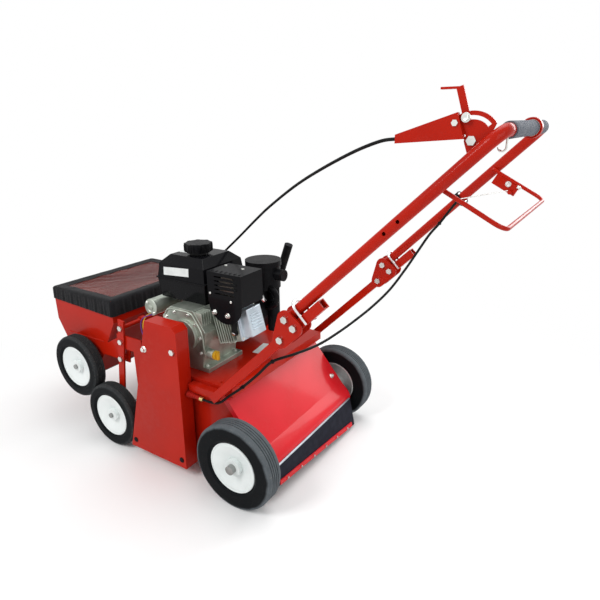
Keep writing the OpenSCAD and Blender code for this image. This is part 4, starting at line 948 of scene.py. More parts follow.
MIDDLE: Triple = (0.0, 0.0, 0.4)
LAMPS = (
    Lamp("key", (-1.0, -2.8, 3.0), MIDDLE, 1.6, 78.0),
    Lamp("fill", (3.2, -1.2, 1.8), MIDDLE, 2.0, 24.0),
    Lamp("top", (0.3, 0.9, 3.4), MIDDLE, 2.2, 46.0),
    Lamp("sheen", (1.2, 2.4, 1.6), (0.1, -0.1, 0.25), 1.3, 30.0),
)


@dataclass
class Studio:
    """Camera at the photograph's angle, soft light and a pale floor."""

    camera_mm: Triple = (894.23, -1165.0, 1003.8)
    azimuth: float = 32.80
    elevation: float = 19.28
    roll: float = -0.70
    lens: float = 30.66
    sensor: float = 36.0
    clip_m: float = 100.0
    sky: float = 0.42
    floor_m: float = 30.0
    floor_thick: float = 10.0
    floor_gap: float = 0.6
    shadow_m: Pair = (0.75, 1.55)

    def camera(self) -> None:
        """Set up the scene's camera."""
        az, el, ro = (math.radians(v) for v in (self.azimuth, self.elevation, self.roll))
        back = Vector((math.sin(az) * math.cos(el), -math.cos(az) * math.cos(el), math.sin(el)))
        right = Vector((math.cos(az), math.sin(az), 0.0))
        up = back.cross(right)
        x = right * math.cos(ro) + up * math.sin(ro)
        y = up * math.cos(ro) - right * math.sin(ro)
        data = bpy.data.cameras.new("view")
        data.lens = self.lens
        data.sensor_width = self.sensor
        data.clip_end = self.clip_m
        eye = bpy.data.objects.new("view", data)
        bpy.context.scene.collection.objects.link(eye)
        turn = Matrix((x, y, back)).transposed().to_4x4()
        eye.matrix_world = Matrix.Translation(Vector(self.camera_mm) * MM) @ turn
        bpy.context.scene.camera = eye

    def light(self) -> None:
        """Set the world and the lamps."""
        bpy.context.scene.view_settings.view_transform = "Standard"
        world = bpy.data.worlds.new("studio")
        bpy.context.scene.world = world
        b = Board(world)
        sky = b.tree.nodes["Background"]
        b.feed(sky.inputs["Color"], WHITE)
        level = {"Value": b.seen(), "To Min": self.sky, "To Max": 1.0}
        b.feed(sky.inputs["Strength"], b.take(b.add("ShaderNodeMapRange", level)))
        for lamp in LAMPS:
            lamp.add()

    def floor(self) -> None:
        """Lay the floor."""
        centre = (0.0, 0.0, -self.floor_gap - self.floor_thick / 2)
        floor = Bench.start(Start.BLOCK, "floor", centre, size=1.0)
        floor.scale = (self.floor_m, self.floor_m, self.floor_thick * MM)
        Bench.settle(floor)
        floor.data.materials.append(self.floor_finish())

    def floor_finish(self) -> bpy.types.Material:
        """Build the floor's pale finish, which fades to white beyond the shadow.

        Returns:
            Its material.
        """
        b = Board(bpy.data.materials.new("floor_white"))
        base = b.mix(b.noise(3.0, 3.0), (0.93, 0.93, 0.93), (0.96, 0.96, 0.96))
        material = b.finish(Base_Color=base, Roughness=0.85, Specular_IOR_Level=0.1)
        far = b.length(b.place).rise(*self.shadow_m)
        glow = b.take(b.add("ShaderNodeEmission", {"Color": WHITE}))
        both = b.add("ShaderNodeMixShader", {0: far * b.seen(), 1: b.take(b.shader), 2: glow})
        b.feed(b.tree.nodes["Material Output"].inputs["Surface"], b.take(both))
        return material


CABLE_R, WIRE_R, CABLE_STEPS = 3.5, 1.2, 8
SLEEVE: tuple[Pair, ...] = ((0.2, -13.0), (1.6, -13.0), (2.0, -12.4), (2.0, -4.0), (1.2, -3.0))


@dataclass
class ControlCables:
    """The reel's clutch cable and the seed gate's cable, along their routes in millimetres."""

    shop: PaintShop
    fold_deg: float = 100.0
    pivot: Triple = (288.0, 0.0, 585.0)
    seed_split: int = 12
    clutch_route: tuple[Triple, ...] = (
        (509, 219, 803), (486, 222, 770), (461, 224, 733), (436, 220, 699), (410, 206, 650),
        (386, 180, 600), (360, 138, 548), (336, 80, 512), (318, 10, 490), (306, -70, 478),
        (294, -150, 472), (274, -225, 472), (234, -266, 458), (189, -267, 412), (138, -267, 362),
        (91.6, -267, 322.6), (51.6, -267, 288.8), (14, -266, 280), (-34, -264, 280),
        (-69, -263, 281))
    seed_route: tuple[Triple, ...] = (
        (500.8, -214.5, 970), (466, -209, 965), (396, -185, 942), (295, -145, 900),
        (197, -100, 854), (84, -50, 790), (6, -15, 740), (-79, 20, 681), (-144, 42, 635),
        (-206, 60, 590), (-270, 74, 544), (-334, 82, 500), (-388, 82, 452), (-412, 80, 408),
        (-434, 80, 360), (-458, 80, 312), (-490, 80, 256), (-508, 80, 222))

    def cable(self, name: str, path: Sequence[Vector], node: str,
              dress: Dress = JACKET,
              radius: float = CABLE_R) -> Piece:
        """Args:
            name: The piece's name.
            path: Its points in metres.
            node: The solid it stands for.
            dress: Its slot and finish.
            radius: Its radius in millimetres.

        Returns:
            The piece.
        """
        piece = swept_tube(name, path, radius * MM)
        self.shop.coat(piece, dress.finish)
        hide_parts(node)
        round(path_length(path), 4)
        LOG.info("cable %s: %.3f m", name, path_length(path))
        return piece

    def build(self) -> None:
        """Make both cables."""
        route = smooth_route(self.clutch_route, CABLE_STEPS)
        clutch = self.cable("clutch_cable_jacket", route, "clutch_cable")
        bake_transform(clutch)
        self.end_wire()
        self.seed_cable()

    def end_wire(self) -> None:
        """Steel end of the clutch cable, from the jacket's end to the bail's clevis."""
        jacket = Vector(self.clutch_route[0]) * MM
        sides = zip(jacket, *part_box("clutch_wire"))
        clevis = Vector([max(low, high, key=lambda v: abs(v - at)) for at, low, high in sides])
        path = [jacket.lerp(clevis, i / CABLE_STEPS) for i in range(CABLE_STEPS + 1)]
        wire = self.cable("clutch_end_wire", path, "clutch_wire", ZINC, WIRE_R)
        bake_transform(wire)

    def seed_cable(self) -> None:
        """The seed gate's cable in two lengths with a sleeve."""
        path = smooth_route(self.seed_route, CABLE_STEPS)
        split = self.seed_split * CABLE_STEPS
        half = [(CABLE_R + out, at) for out, at in SLEEVE]
        section = half + [(radius, -at) for radius, at in reversed(half)]
        middle, along = path[split] / MM, path[split + 1] - path[split - 1]
        joiner = Bench.turned("seed_cable_joiner", section, tuple(middle), tuple(along), 20)
        self.shop.place(joiner, ZINC)
        upper = self.cable("seed_cable_upper", path[:split + 1], "seed_cable")
        lower = self.cable("seed_cable_lower", path[split:], "seed_cable")
        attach(lower, "chassis")
        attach(upper, "chassis")
        tip, pivot, anchor = path[0], Vector(self.pivot) * MM, path[split]
        folded = Matrix.Rotation(math.radians(-self.fold_deg), 3, "Y") @ (tip - pivot) + pivot
        travel = tip - Vector((folded.x, tip.y, folded.z))
        axis = travel.normalized()
        keep = 1.0 - travel.length / (tip - anchor).dot(axis)
        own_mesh(upper)


PLEATS: tuple[Triple, ...] = ((0.24, 61, 0.0), (0.16, 97, 1.3), (0.10, 23, 0.4))


@dataclass
class SeedCover:
    """Cloth cover of the hopper with a smoky window and a gathered skirt, in millimetres."""

    shop: PaintShop
    border: float = 36.0
    seam: float = 0.8
    seam_drop: float = 4.2
    sag: float = 9.0
    skirt: float = 55.0
    rise_front: float = 14.0
    gather: float = 5.0
    gather_fade: float = 0.7
    hem_share: float = 0.05
    hem_pull: float = 0.35
    hem_roll: float = 2.2
    lowest_share: float = -0.02
    cloth_gap: float = 0.6
    room: float = 3.8
    points_long: int = 150
    points_short: int = 104
    arc_steps: int = 7
    round_mm: float = 8.0
    least_round: float = 2.0
    window_round: float = 3.0
    ripple_inset: float = 40.0
    ripple_half: float = 150.0
    cloth: float = 1.2
    skirt_shares: tuple[float, ...] = (-0.04, 0.0, 0.04, 0.10, 0.22, 0.38, 0.55, 0.70, 0.80, 0.86)
    edge_rings: tuple[Pair, ...] = ((0.4, 4.6), (1.6, 2.6), (3.6, 1.1), (7.0, 0.0))
    window_shares: tuple[float, ...] = (0.95, 0.88, 0.78, 0.66, 0.54, 0.42, 0.30, 0.18, 0.08, 0.02)

    def __post_init__(self) -> None:
        """Take the cover's middle, half sizes and top from the solid it stands for."""
        low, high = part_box("hopper_cover")
        self.mid, half = (low + high) / 2 / MM, (high - low) / 2 / MM
        self.half_x, self.half_y = half.x - self.room, half.y - self.room
        self.top = high.z / MM - self.cloth_gap

    def loop(self, inset: float, radius: float) -> list[Pair]:
        """Rounded rectangle with the same number of points at any size.

        Args:
            inset: Its distance inside the cover's edge.
            radius: Its corner radius.

        Returns:
            The points, from the rear right corner round by the right side.
        """
        half_x, half_y = self.half_x - inset, self.half_y - inset
        x, y = half_x - radius, half_y - radius
        pts: list[Pair] = []
        for centre, first, count, nxt in (
                ((x, y), 0, self.points_short, (-x, half_y)),
                ((-x, y), 90, self.points_long, (-half_x, -y)),
                ((-x, -y), 180, self.points_short, (x, -half_y)),
                ((x, -y), 270, self.points_long, (half_x, y))):
            for k in range(self.arc_steps + 1):
                a = math.radians(first + 90 * k / self.arc_steps)
                pts.append((centre[0] + radius * math.cos(a), centre[1] + radius * math.sin(a)))
            last = pts[-1]
            pts += [(last[0] + (nxt[0] - last[0]) * k / count,
                     last[1] + (nxt[1] - last[1]) * k / count) for k in range(1, count)]
        return pts

    def point(self, x: float, y: float, rise: float) -> Vector:
        """Return a point in metres, from its place on the cover and its rise over the top."""
        return Vector((self.mid.x + x, self.mid.y + y, self.top + rise)) * MM

    def skirt_row(self, share: float) -> list[Vector]:
        """One row of the gathered skirt.

        Args:
            share: Its share of the skirt's height.

        Returns:
            Its points in metres.
        """
        pull = self.gather * (1.0 if share > self.hem_share else self.hem_pull)
        pull *= (1.0 - share) ** self.gather_fade
        clear = self.hem_roll if 0.0 <= share < self.hem_share else self.cloth_gap
        ring, row = self.loop(0.0, self.round_mm), []
        for k, (x, y) in enumerate(ring):
            front = (self.half_x - x) / (2 * self.half_x)
            drop = (self.skirt - self.rise_front * front) * (1.0 - max(share, self.lowest_share))
            out = pull * self.pleat(k / len(ring)) + clear
            if abs(x / self.half_x) > abs(y / self.half_y):
                x += math.copysign(out, x)
            else:
                y += math.copysign(out, y)
            row.append(self.point(x, y, -drop))
        return row

    def border_row(self, inset: float, drop: float) -> list[Vector]:
        """Return one row of the top's border, by its inset from the edge and its drop."""
        ring = self.loop(inset, max(self.round_mm - inset * 0.2, self.least_round))
        return [self.point(x, y, self.ripple(x, y, inset) - drop) for x, y in ring]

    def window_row(self, share: float) -> list[Vector]:
        """One row of the window.

        Args:
            share: Its share of the way from the middle to the seam.

        Returns:
            Its points in metres.
        """
        ring = self.loop(self.border + self.seam, self.window_round)
        drop = self.seam_drop + (self.sag - self.seam_drop) * (1.0 - share ** 2)
        return [self.point(x * share, y * share,
                           self.ripple(x * share, y * share, self.ripple_inset) - drop)
                for x, y in ring]

    def build(self) -> None:
        rings = (*self.edge_rings, (self.border * 0.5, 1.0), (self.border - 2.0, 2.6),
                 (self.border, 2.8), (self.border + self.seam, self.seam_drop))
        rows = [self.skirt_row(share) for share in self.skirt_shares]
        rows += [self.border_row(inset, drop) for inset, drop in rings]
        n = len(rows[0])
        window_from = (len(rows) - 1) * n
        rows += [self.window_row(share) for share in self.window_shares]
        verts = [p for row in rows for p in row] + [sum(rows[-1], Vector()) / n]
        last, middle = len(verts) - 1 - n, len(verts) - 1
        fan = [(last + k, last + (k + 1) % n, middle) for k in range(n)]
        piece = new_mesh("hopper_cover_cloth", verts, strips(len(rows), n) + fan)
        self.shop.coat(piece, "cover_cloth", "cover_window")
        for face in piece.data.polygons:
            face.material_index = int(face.index >= window_from)
            face.use_smooth = True
        thick = piece.modifiers.new("thick", "SOLIDIFY")
        thick.thickness = self.cloth * MM
        thick.offset = -1.0
        Bench.only(piece)
        bpy.ops.object.modifier_apply(modifier=thick.name)
        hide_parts("hopper_cover")
        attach(piece, Body.COVER.value)

    @staticmethod
    def pleat(share: float) -> float:
        """Return the gathers' height, from 0 to 1, at a share of the way round the skirt."""
        t = 2 * math.pi * share
        return 0.5 + sum(high * math.sin(waves * t + phase) for high, waves, phase in PLEATS)

    def ripple(self, x: float, y: float, inset: float) -> float:
        """Wrinkles of the top, which grow inwards and to the front.

        Args:
            x: Place along X from the middle.
            y: Place along Y from the middle.
            inset: Distance from the edge.

        Returns:
            Their height.
        """
        share = min(inset / self.ripple_inset, 1.0)
        share *= 0.35 + 0.65 * max(0.0, -x) / self.ripple_half
        broad = math.sin(x * 0.055 + y * 0.021) * math.sin(y * 0.047 + 0.6)
        return share * (1.6 * broad + 0.9 * math.sin(x * 0.13 - y * 0.09))


@dataclass(frozen=True)
class Spot:
    """A seat on a surface: its place in millimetres, the way out, a size and a turn about it."""

    place: Triple
    out: Triple
    size: float = 1.0
    turn: float = 0.0

    def matrix(self) -> Matrix:
        """Return the move of a master, which stands on the origin along Z, to this seat."""
        way = Vector(self.out).to_track_quat("Z", "Y").to_matrix().to_4x4()
        spin = Matrix.Rotation(math.radians(self.turn), 4, "Z")
        return Matrix.Translation(Vector(self.place) * MM) @ way @ spin @ Matrix.Scale(self.size, 4)


def touch(nodes: str, origin: Triple, toward: Triple, size: float = 1.0, turn: float = 0.0) -> Spot:
    """Seat where a straight line first meets one of some solids.

    Args:
        nodes: Names of the solids, with spaces between them.
        origin: Where the line starts, in millimetres.
        toward: Its direction.
        size: Size of what sits there.
        turn: Its turn about the surface's normal, in degrees.

    Returns:
        The seat.
    """
    start = Vector(origin) * MM
    hits = []
    for node in nodes.split():
        hit, place, normal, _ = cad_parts[node].ray_cast(start, Vector(toward))
        if hit:
            hits.append(((place - start).length, place, normal))
    if not hits:
        raise ValueError(f"nothing of {nodes} lies ahead of {origin}")
    _, place, normal = min(hits, key=lambda h: h[0])
    return Spot(tuple(place / MM), tuple(normal), size, turn)


class Fixing(Enum):
    """Small pieces that repeat."""

    HEX = "hex_bolt"
    PAN = "pan_screw"
    PLUG = "plug_cap"
    LOUVRE = "louvre"


def is_top(normal: Vector) -> bool:
    """Tell whether a face looks up."""
    return normal.z > 0.99


class Hardware:
    """Small repeated pieces, each modelled once and copied to its seats."""

    WASHER = ((3.0, -0.6), (7.8, -0.6), (8.2, -0.2), (8.2, 0.9), (7.8, 1.3), (3.0, 1.3))
    CAP = ((0.1, -0.6), (8.5, -0.6), (8.5, 0.8), (7.6, 2.0), (6.0, 2.4), (3.0, 2.0), (0.1, 1.9))
    ROUND_STEPS = 28

    def __init__(self, shop: PaintShop) -> None:
        """Model every master."""
        self.shop = shop
        self.masters = {kind: getattr(self, kind.value)() for kind in Fixing}

    def hex_bolt(self) -> Piece:
        """Model a hexagon head 10 mm across its flats, chamfered and dished, on a washer.

        Returns:
            The master.
        """
        head = Bench.start(Start.ROUND, "hex_master", (0.0, 0.0, 4.0), vertices=6,
                           radius=5.8 * MM, depth=5.6 * MM)
        Bench.edit(head, is_top)
        Bench.step(inset=0.9, lift=0.6)
        Bench.step(inset=1.6, lift=-0.5)
        Bench.done(head, degrees=20.0)
        washer = Bench.turned("hex_washer", self.WASHER, ORIGIN, UP, self.ROUND_STEPS)
        return Bench.join("hex_master", [head, washer])

    def pan_screw(self) -> Piece:
        """Model a 9 mm domed screw head with a driver's recess.

        Returns:
            The master.
        """
        head = Bench.start(Start.ROUND, "pan_master", (0.0, 0.0, 0.9), vertices=20,
                           radius=4.5 * MM, depth=3.0 * MM)
        Bench.edit(head, is_top)
        Bench.step(inset=1.0, lift=0.8)
        bpy.ops.mesh.inset(thickness=1.6 * MM)
        bpy.ops.mesh.extrude_region_move(TRANSFORM_OT_translate={"value": (0.0, 0.0, -1.2 * MM)})
        return Bench.done(head)

    def plug_cap(self) -> Piece:
        """Return a domed plug 17 mm across."""
        return Bench.turned("plug_master", self.CAP, ORIGIN, UP, self.ROUND_STEPS)

    def louvre(self) -> Piece:
        """Model a pressed louvre 24 mm long, open to one side.

        Returns:
            The master.
        """
        hood = Bench.start(Start.BLOCK, "louvre_master", (0.0, 0.0, 1.6), size=1.0)
        hood.scale = (24.0 * MM, 6.0 * MM, 4.0 * MM)
        Bench.settle(hood)
        Bench.edit(hood, is_top)
        bpy.ops.transform.resize(value=(0.86, 0.30, 1.0), center_override=(0.0, -0.0015, 0.0036))
        Bench.edit(hood, lambda normal: not is_top(-normal))
        bpy.ops.mesh.bevel(offset=0.7 * MM, segments=2, affect="EDGES")
        return Bench.done(hood)

    def fix(self, name: str, kind: Fixing, spots: Sequence[Spot], dress: Dress = ZINC) -> Piece:
        """Copy a master to its seats and join the copies.

        Args:
            name: The joined piece's name.
            kind: Which master.
            spots: The seats.
            dress: What they wear and ride on.

        Returns:
            The joined piece.
        """
        piece = Bench.repeat(self.masters[kind], name, [spot.matrix() for spot in spots])
        return self.shop.place(piece, dress)

    def clear(self) -> None:
        """Remove the masters."""
        for piece in self.masters.values():
            bpy.data.objects.remove(piece, do_unlink=True)


@dataclass(frozen=True)
class Seats:
    """A row of seats: their places, or where lines that start there meet some solids.

    The first seat has the row's turn and each next one a twist more, in degrees.
    """

    places: tuple[Triple, ...]
    out: Triple
    size: float = 1.0
    turn: float = 0.0
    twist: float = 0.0
    solids: str = ""

    def spot(self, i: int) -> Spot:
        """One seat of the row.

        Args:
            i: Its number.

        Returns:
            The seat.
        """
        place, turn = self.places[i], self.turn + self.twist * i
        if self.solids:
            return touch(self.solids, place, tuple(-v for v in self.out), self.size, turn)
        return Spot(place, self.out, self.size, turn)


@dataclass(frozen=True)
class Detail:
    """A small piece, as a table describes it in millimetres and degrees."""

    name: str
    dress: Dress

    def build(self, hardware: Hardware) -> Piece:
        """Make the piece and place it."""
        raise NotImplementedError


@dataclass(frozen=True)
class Fixed(Detail):
    """Copies of one fixing on rows of seats."""

    kind: Fixing
    rows: tuple[Seats, ...]

    def build(self, hardware: Hardware) -> Piece:
        """Make the copies and place them as one piece."""
        spots = [row.spot(i) for row in self.rows for i in range(len(row.places))]
        return hardware.fix(self.name, self.kind, spots, self.dress)


@dataclass(frozen=True)
class Tube(Detail):
    """Round tube along a route, laid on a solid's left face where one is named."""

    radius: float
    sides: int
    steps: int
    route: tuple[Triple, ...]
    solid: str = ""

    def path(self) -> list[Vector]:
        """Return the route's curve in metres."""
        route = self.route
        if self.solid:
            route = [touch(self.solid, p, RIGHT).place for p in route]
        return smooth_route(route, self.steps)

    def build(self, hardware: Hardware) -> Piece:
        """Make the tube and place it."""
        tube = swept_tube(self.name, self.path(), self.radius * MM, self.sides)
        return hardware.shop.place(tube, self.dress)


@dataclass(frozen=True)
class Lead(Tube):
    """Electric wire that hangs loose."""

    def build(self, hardware: Hardware) -> Piece:
        """Args:
            hardware: Where the finishes are.

        Returns:
            The piece.
        """
        wire, path = super().build(hardware), self.path()
        round(path_length(path), 4)
        2 * self.radius * MM
        return wire


@dataclass(frozen=True)
class Turned(Detail):
    """Section spun about an axis."""

    steps: int
    centre: Triple
    axis: Triple
    section: tuple[Pair, ...]

    def build(self, hardware: Hardware) -> Piece:
        """Spin the section and place the piece."""
        piece = Bench.turned(self.name, self.section, self.centre, self.axis, self.steps)
        return hardware.shop.place(piece, self.dress)


@dataclass(frozen=True)
class Label(Detail):
    """Bare label where a line meets a solid; its size is two sides and a thickness."""

    solid: str
    start: Triple
    toward: Triple
    turn: float
    size: Triple
    SUNK, SOFT, RIM, DISH = 0.3, 0.45, 1.2, 0.2

    def build(self, hardware: Hardware) -> Piece:
        """Lay the label and place it.

        Args:
            hardware: Where the finishes are.

        Returns:
            The piece.
        """
        x, y, thick = self.size[0] / 2, self.size[1] / 2, self.size[2]
        piece = Bench.block(self.name, (-x, -y, -self.SUNK), (x, y, thick), thick * self.SOFT)
        Bench.edit(piece, is_top)
        bpy.ops.mesh.inset(thickness=self.RIM * MM, depth=-self.DISH * MM)
        Bench.done(piece)
        piece.data.transform(touch(self.solid, self.start, self.toward, 1.0, self.turn).matrix())
        return hardware.shop.place(piece, self.dress)


def on_side(y: float, *pairs: Pair) -> tuple[Triple, ...]:
    """Return places with one Y from their X and Z."""
    return tuple((x, y, z) for x, z in pairs)


def round_about(centre: Triple, radius: float, count: int,
                first: float = 0.0) -> tuple[Triple, ...]:
    """Places on a circle in the plane of X and Z.

    Args:
        centre: Its centre.
        radius: Its radius.
        count: How many places.
        first: Angle of the first one from Z, in degrees.

    Returns:
        The places.
    """
    x, y, z = centre
    angles = [math.radians(first + 360.0 * i / count) for i in range(count)]
    return tuple((x + radius * math.sin(a), y, z + radius * math.cos(a)) for a in angles)


LINE_Y, GUARD_Y, GUARD_TOP = -400.0, -165.0, 618.0
STARTER: Triple = (-284.0, -172.0, 472.0)
RECOIL: Triple = (-124.0, 300.0, 434.0)
TANK_LABEL = Dress(Slot.TANK, "white_label")
ENGINE: tuple[Detail, ...] = (
    Fixed("muffler_guard_bolts", ZINC, Fixing.HEX, (
        Seats(on_side(GUARD_Y, (-34.6, 501.2), (12.6, 498.5)), LEFT, 0.95, 12.0, -12.0),)),
    Fixed("muffler_guard_screws", ZINC, Fixing.PAN, (
        Seats(on_side(GUARD_Y, (-47.0, 556.0), (27.0, 541.0)), LEFT, 0.8),
        Seats(((-42.6, -98.0, GUARD_TOP), (23.7, -105.0, GUARD_TOP)), UP))),
    Fixed("muffler_guard_louvres", Dress(Slot.BLACK_METAL, "black_enamel"), Fixing.LOUVRE, (
        Seats(tuple((-44.0 + 16.0 * i, -153.0, GUARD_TOP) for i in range(7)), UP, 0.55, 90.0),
        Seats(on_side(GUARD_Y, (38.0, 592.0), (38.0, 578.0)), LEFT, 0.9))),
    Tube("crankcase_bead", CAST, 3.0, 14, 8, on_side(
        LINE_Y, (-205.0, 440.0), (-205.0, 466.0), (-198.0, 480.0), (-184.0, 493.0), (-140.0, 495.0),
        (-100.0, 493.0), (-84.0, 474.0), (-68.0, 450.0), (-60.0, 428.0), (-58.0, 396.0),
        (-58.0, 366.0)), "engine_block"),
    Fixed("crankcase_bolts", ZINC, Fixing.HEX, (Seats(on_side(
        LINE_Y, (-198.0, 466.0), (-164.0, 487.0), (-110.0, 487.0), (-84.0, 462.0), (-70.0, 424.0),
        (-70.0, 378.0), (-200.0, 384.0)), LEFT, 0.72, 0.0, 9.0, "engine_block"),)),
    Tube("breather_elbow", CHROME, 7.0, 18, 6, (
        (24, -58, 548), (34, -58, 547), (43, -57, 541), (47, -55, 530), (46, -46, 516),
        (40, -30, 508))),
    Tube("intake_elbow", MOULDED, 9.5, 18, 6, (
        (44, -8, 540), (58, -14, 538), (70, -18, 530), (74, -20, 516), (68, -20, 500),
        (50, -14, 486), (34, -4, 478))),
    Fixed("engine_foot_bolts", ZINC, Fixing.HEX, (Seats((
        (-62.0, -182.0, 334.0), (-220.0, -182.0, 334.0), (-62.0, -58.0, 334.0),
        (-220.0, -58.0, 334.0)), UP, 0.68, 0.0, 20.0),)),
    Tube("spark_plug_boot", Dress(Slot.RUBBER, "cable_jacket"), 8.2, 20, 6, (
        (22, -136, 443), (22, -146, 443), (22, -153, 448), (23, -154, 459), (23, -151, 474),
        (23, -146, 490))),
    Turned("spark_plug_cap", CHROME, 28, (22.0, -150.0, 447.0), (0.0, -1.0, -0.35), (
        (0.1, 6.4), (4.6, 6.4), (6.0, 7.4), (6.0, 10.0), (4.8, 11.2), (0.1, 11.6))),
    Turned("starter_end_cap", CAST, 44, STARTER, LEFT, (
        (0.1, -1.0), (25.0, -1.0), (26.6, 0.0), (26.6, 5.0), (25.0, 7.0), (15.0, 8.0), (13.0, 6.4),
        (9.0, 6.4), (8.0, 9.0), (6.5, 10.0), (0.1, 10.0))),
    Fixed("starter_bolts", ZINC, Fixing.HEX, (Seats(tuple(
        (STARTER[0] + dx, STARTER[1] - 7.2, STARTER[2] + dz)
        for dx, dz in ((-13.0, 15.0), (13.0, -15.0))), LEFT, 0.5),)),
    Fixed("recoil_vents", MOULDED, Fixing.LOUVRE, (
        Seats(round_about(RECOIL, 48.0, 12), RIGHT, 1.1, 90.0, 30.0, "blower_housing"),)),
    Fixed("recoil_screws", ZINC, Fixing.HEX, (
        Seats(round_about(RECOIL, 70.0, 4, 45.0), RIGHT, 0.8, solids="blower_housing"),)),
    Fixed("recoil_plug", MOULDED, Fixing.PLUG, (
        Seats((RECOIL,), RIGHT, 2.0, solids="blower_housing"),)),
    Label("tank_side_label", TANK_LABEL, "fuel_tank", (-198.0, LINE_Y, 589.0), RIGHT, 3.9,
          (101.0, 24.0, 0.6)),
    Label("tank_top_label", TANK_LABEL, "fuel_tank", (-222.0, -66.0, 800.0), DOWN, 4.0,
          (36.0, 34.0, 0.6)),
    Lead("starter_wire_yellow", Dress(Slot.PLASTIC, "yellow_moulding"), 1.7, 10, 3, (
        (-284, -170, 453), (-288, -180, 452), (-294, -189, 447), (-299, -196, 436),
        (-300, -202, 420), (-294, -207, 400), (-281, -211, 376), (-262, -213, 353),
        (-243, -214, 336), (-229, -214, 326), (-221, -214, 318))),
    Lead("starter_wire_purple", Dress(Slot.PLASTIC, "purple_moulding"), 1.7, 10, 3, (
        (-276, -170, 452), (-282, -181, 450), (-293, -191, 446), (-306, -197, 437),
        (-312, -200, 422), (-309, -203, 402), (-296, -207, 378), (-276, -210, 356),
        (-254, -211, 338), (-236, -210, 326), (-227, -209, 318))),
)
CLIP: Triple = (508.4, 240.5, 801.6)
CLIP_AXIS: Triple = (0.7106, -0.0855, 0.6983)
CONTROLS: tuple[Detail, ...] = (
    Turned("grip_strap", PAINTED.on(Body.HANDLE), 44, (695.27, 50.0, 985.22), RIGHT, (
        (17.0, -8.0), (20.4, -8.0), (21.6, -6.6), (21.6, 6.6), (20.4, 8.0), (17.0, 8.0))),
    Turned("clutch_cable_clip", MOULDED.on(Body.HANDLE), 40, CLIP, CLIP_AXIS, (
        (16.6, -8.0), (18.8, -8.0), (19.6, -7.2), (19.6, 7.2), (18.8, 8.0), (16.6, 8.0))),
    Fixed("rate_lock_bolt", ZINC.on(Body.RATE), Fixing.HEX, (
        Seats(((629.5, LINE_Y, 1006.6),), LEFT, 1.05, 12.0, solids="rate_lever"),)),
    Fixed("bail_bolts", ZINC.on(Body.BAIL), Fixing.HEX, (
        Seats(on_side(150.0, (657.6, 843.5), (631.0, 849.5)), LEFT, 0.9, solids="bail"),)),
)


def boot_section(ribs: int = 5, pitch: float = 6.4, bore: float = 3.7,
                 end: float = 46.0) -> tuple[Pair, ...]:
    """Section of the clutch cable's ribbed boot.

    Args:
        ribs: How many ribs.
        pitch: Distance from one to the next.
        bore: Radius of the cable's hole.
        end: The boot's length.

    Returns:
        Radius and place of each corner.
    """
    section = [(bore, 0.0)]
    for i in range(ribs):
        big, at = 9.6 - 0.6 * i, pitch * i
        section += [(big - 0.6, at), (big, at + 0.8), (big, at + 3.4), (big - 1.6, at + 4.4),
                    (big - 1.6, at + 5.6)]
    return (*section, (5.6, pitch * ribs + 1.0), (5.2, end), (bore, end))


BOOT: Triple = (-66.0, -263.5, 280.5)
BOOT_AXIS: Triple = (1.0, -0.03, -0.02)
CHASSIS: tuple[Detail, ...] = (
    Fixed("guard_plugs", MOULDED, Fixing.PLUG, (
        Seats(on_side(-289.0, (-290.4, 63.0), (-92.0, 63.0)), LEFT),)),
    Fixed("guard_ear_bolt", ZINC, Fixing.HEX, (
        Seats(((-201.0, -500.0, 396.0),), LEFT, 1.2, solids="belt_guard chassis_fasteners"),)),
    Turned("clutch_cable_boot", Dress(Slot.RUBBER, "red_rubber"), 28, BOOT, BOOT_AXIS,
           boot_section()),
    Turned("clutch_cable_ferrule", Dress(Slot.PLATED, "brass_plate"), 28, BOOT, BOOT_AXIS, (
        (3.7, 46.0), (5.8, 46.0), (6.2, 46.5), (6.2, 57.5), (5.8, 58.0), (3.7, 58.0))),
    Tube("hopper_ridge", PAINTED, 2.4, 12, 6, on_side(
        LINE_Y, (-664.0, 326.5), (-620.0, 327.0), (-570.0, 327.8), (-520.0, 328.5),
        (-482.0, 329.0)), "hopper_shell"),
    Fixed("hood_bolts", ZINC, Fixing.HEX, (
        Seats(((190.0, -206.0, 248.0), (190.0, 206.0, 248.0)), (54.0, 0.0, 66.0), 1.0, 10.0,
              solids="rear_hood"),)),
    Label("deck_plate_label", Dress(Slot.PLATED, "white_label"), "deck_plate", (-19.0, 21.0, 340.0),
          DOWN, 8.6, (25.0, 76.0, 0.8)),
)


@dataclass
class Trim:
    """Small pieces of one assembly."""

    hardware: Hardware

    def add(self, piece: Piece, dress: Dress) -> Piece:
        """Place one piece."""
        return self.hardware.shop.place(piece, dress)

    def build(self) -> None:
        """Make every piece of the trim."""
        raise NotImplementedError


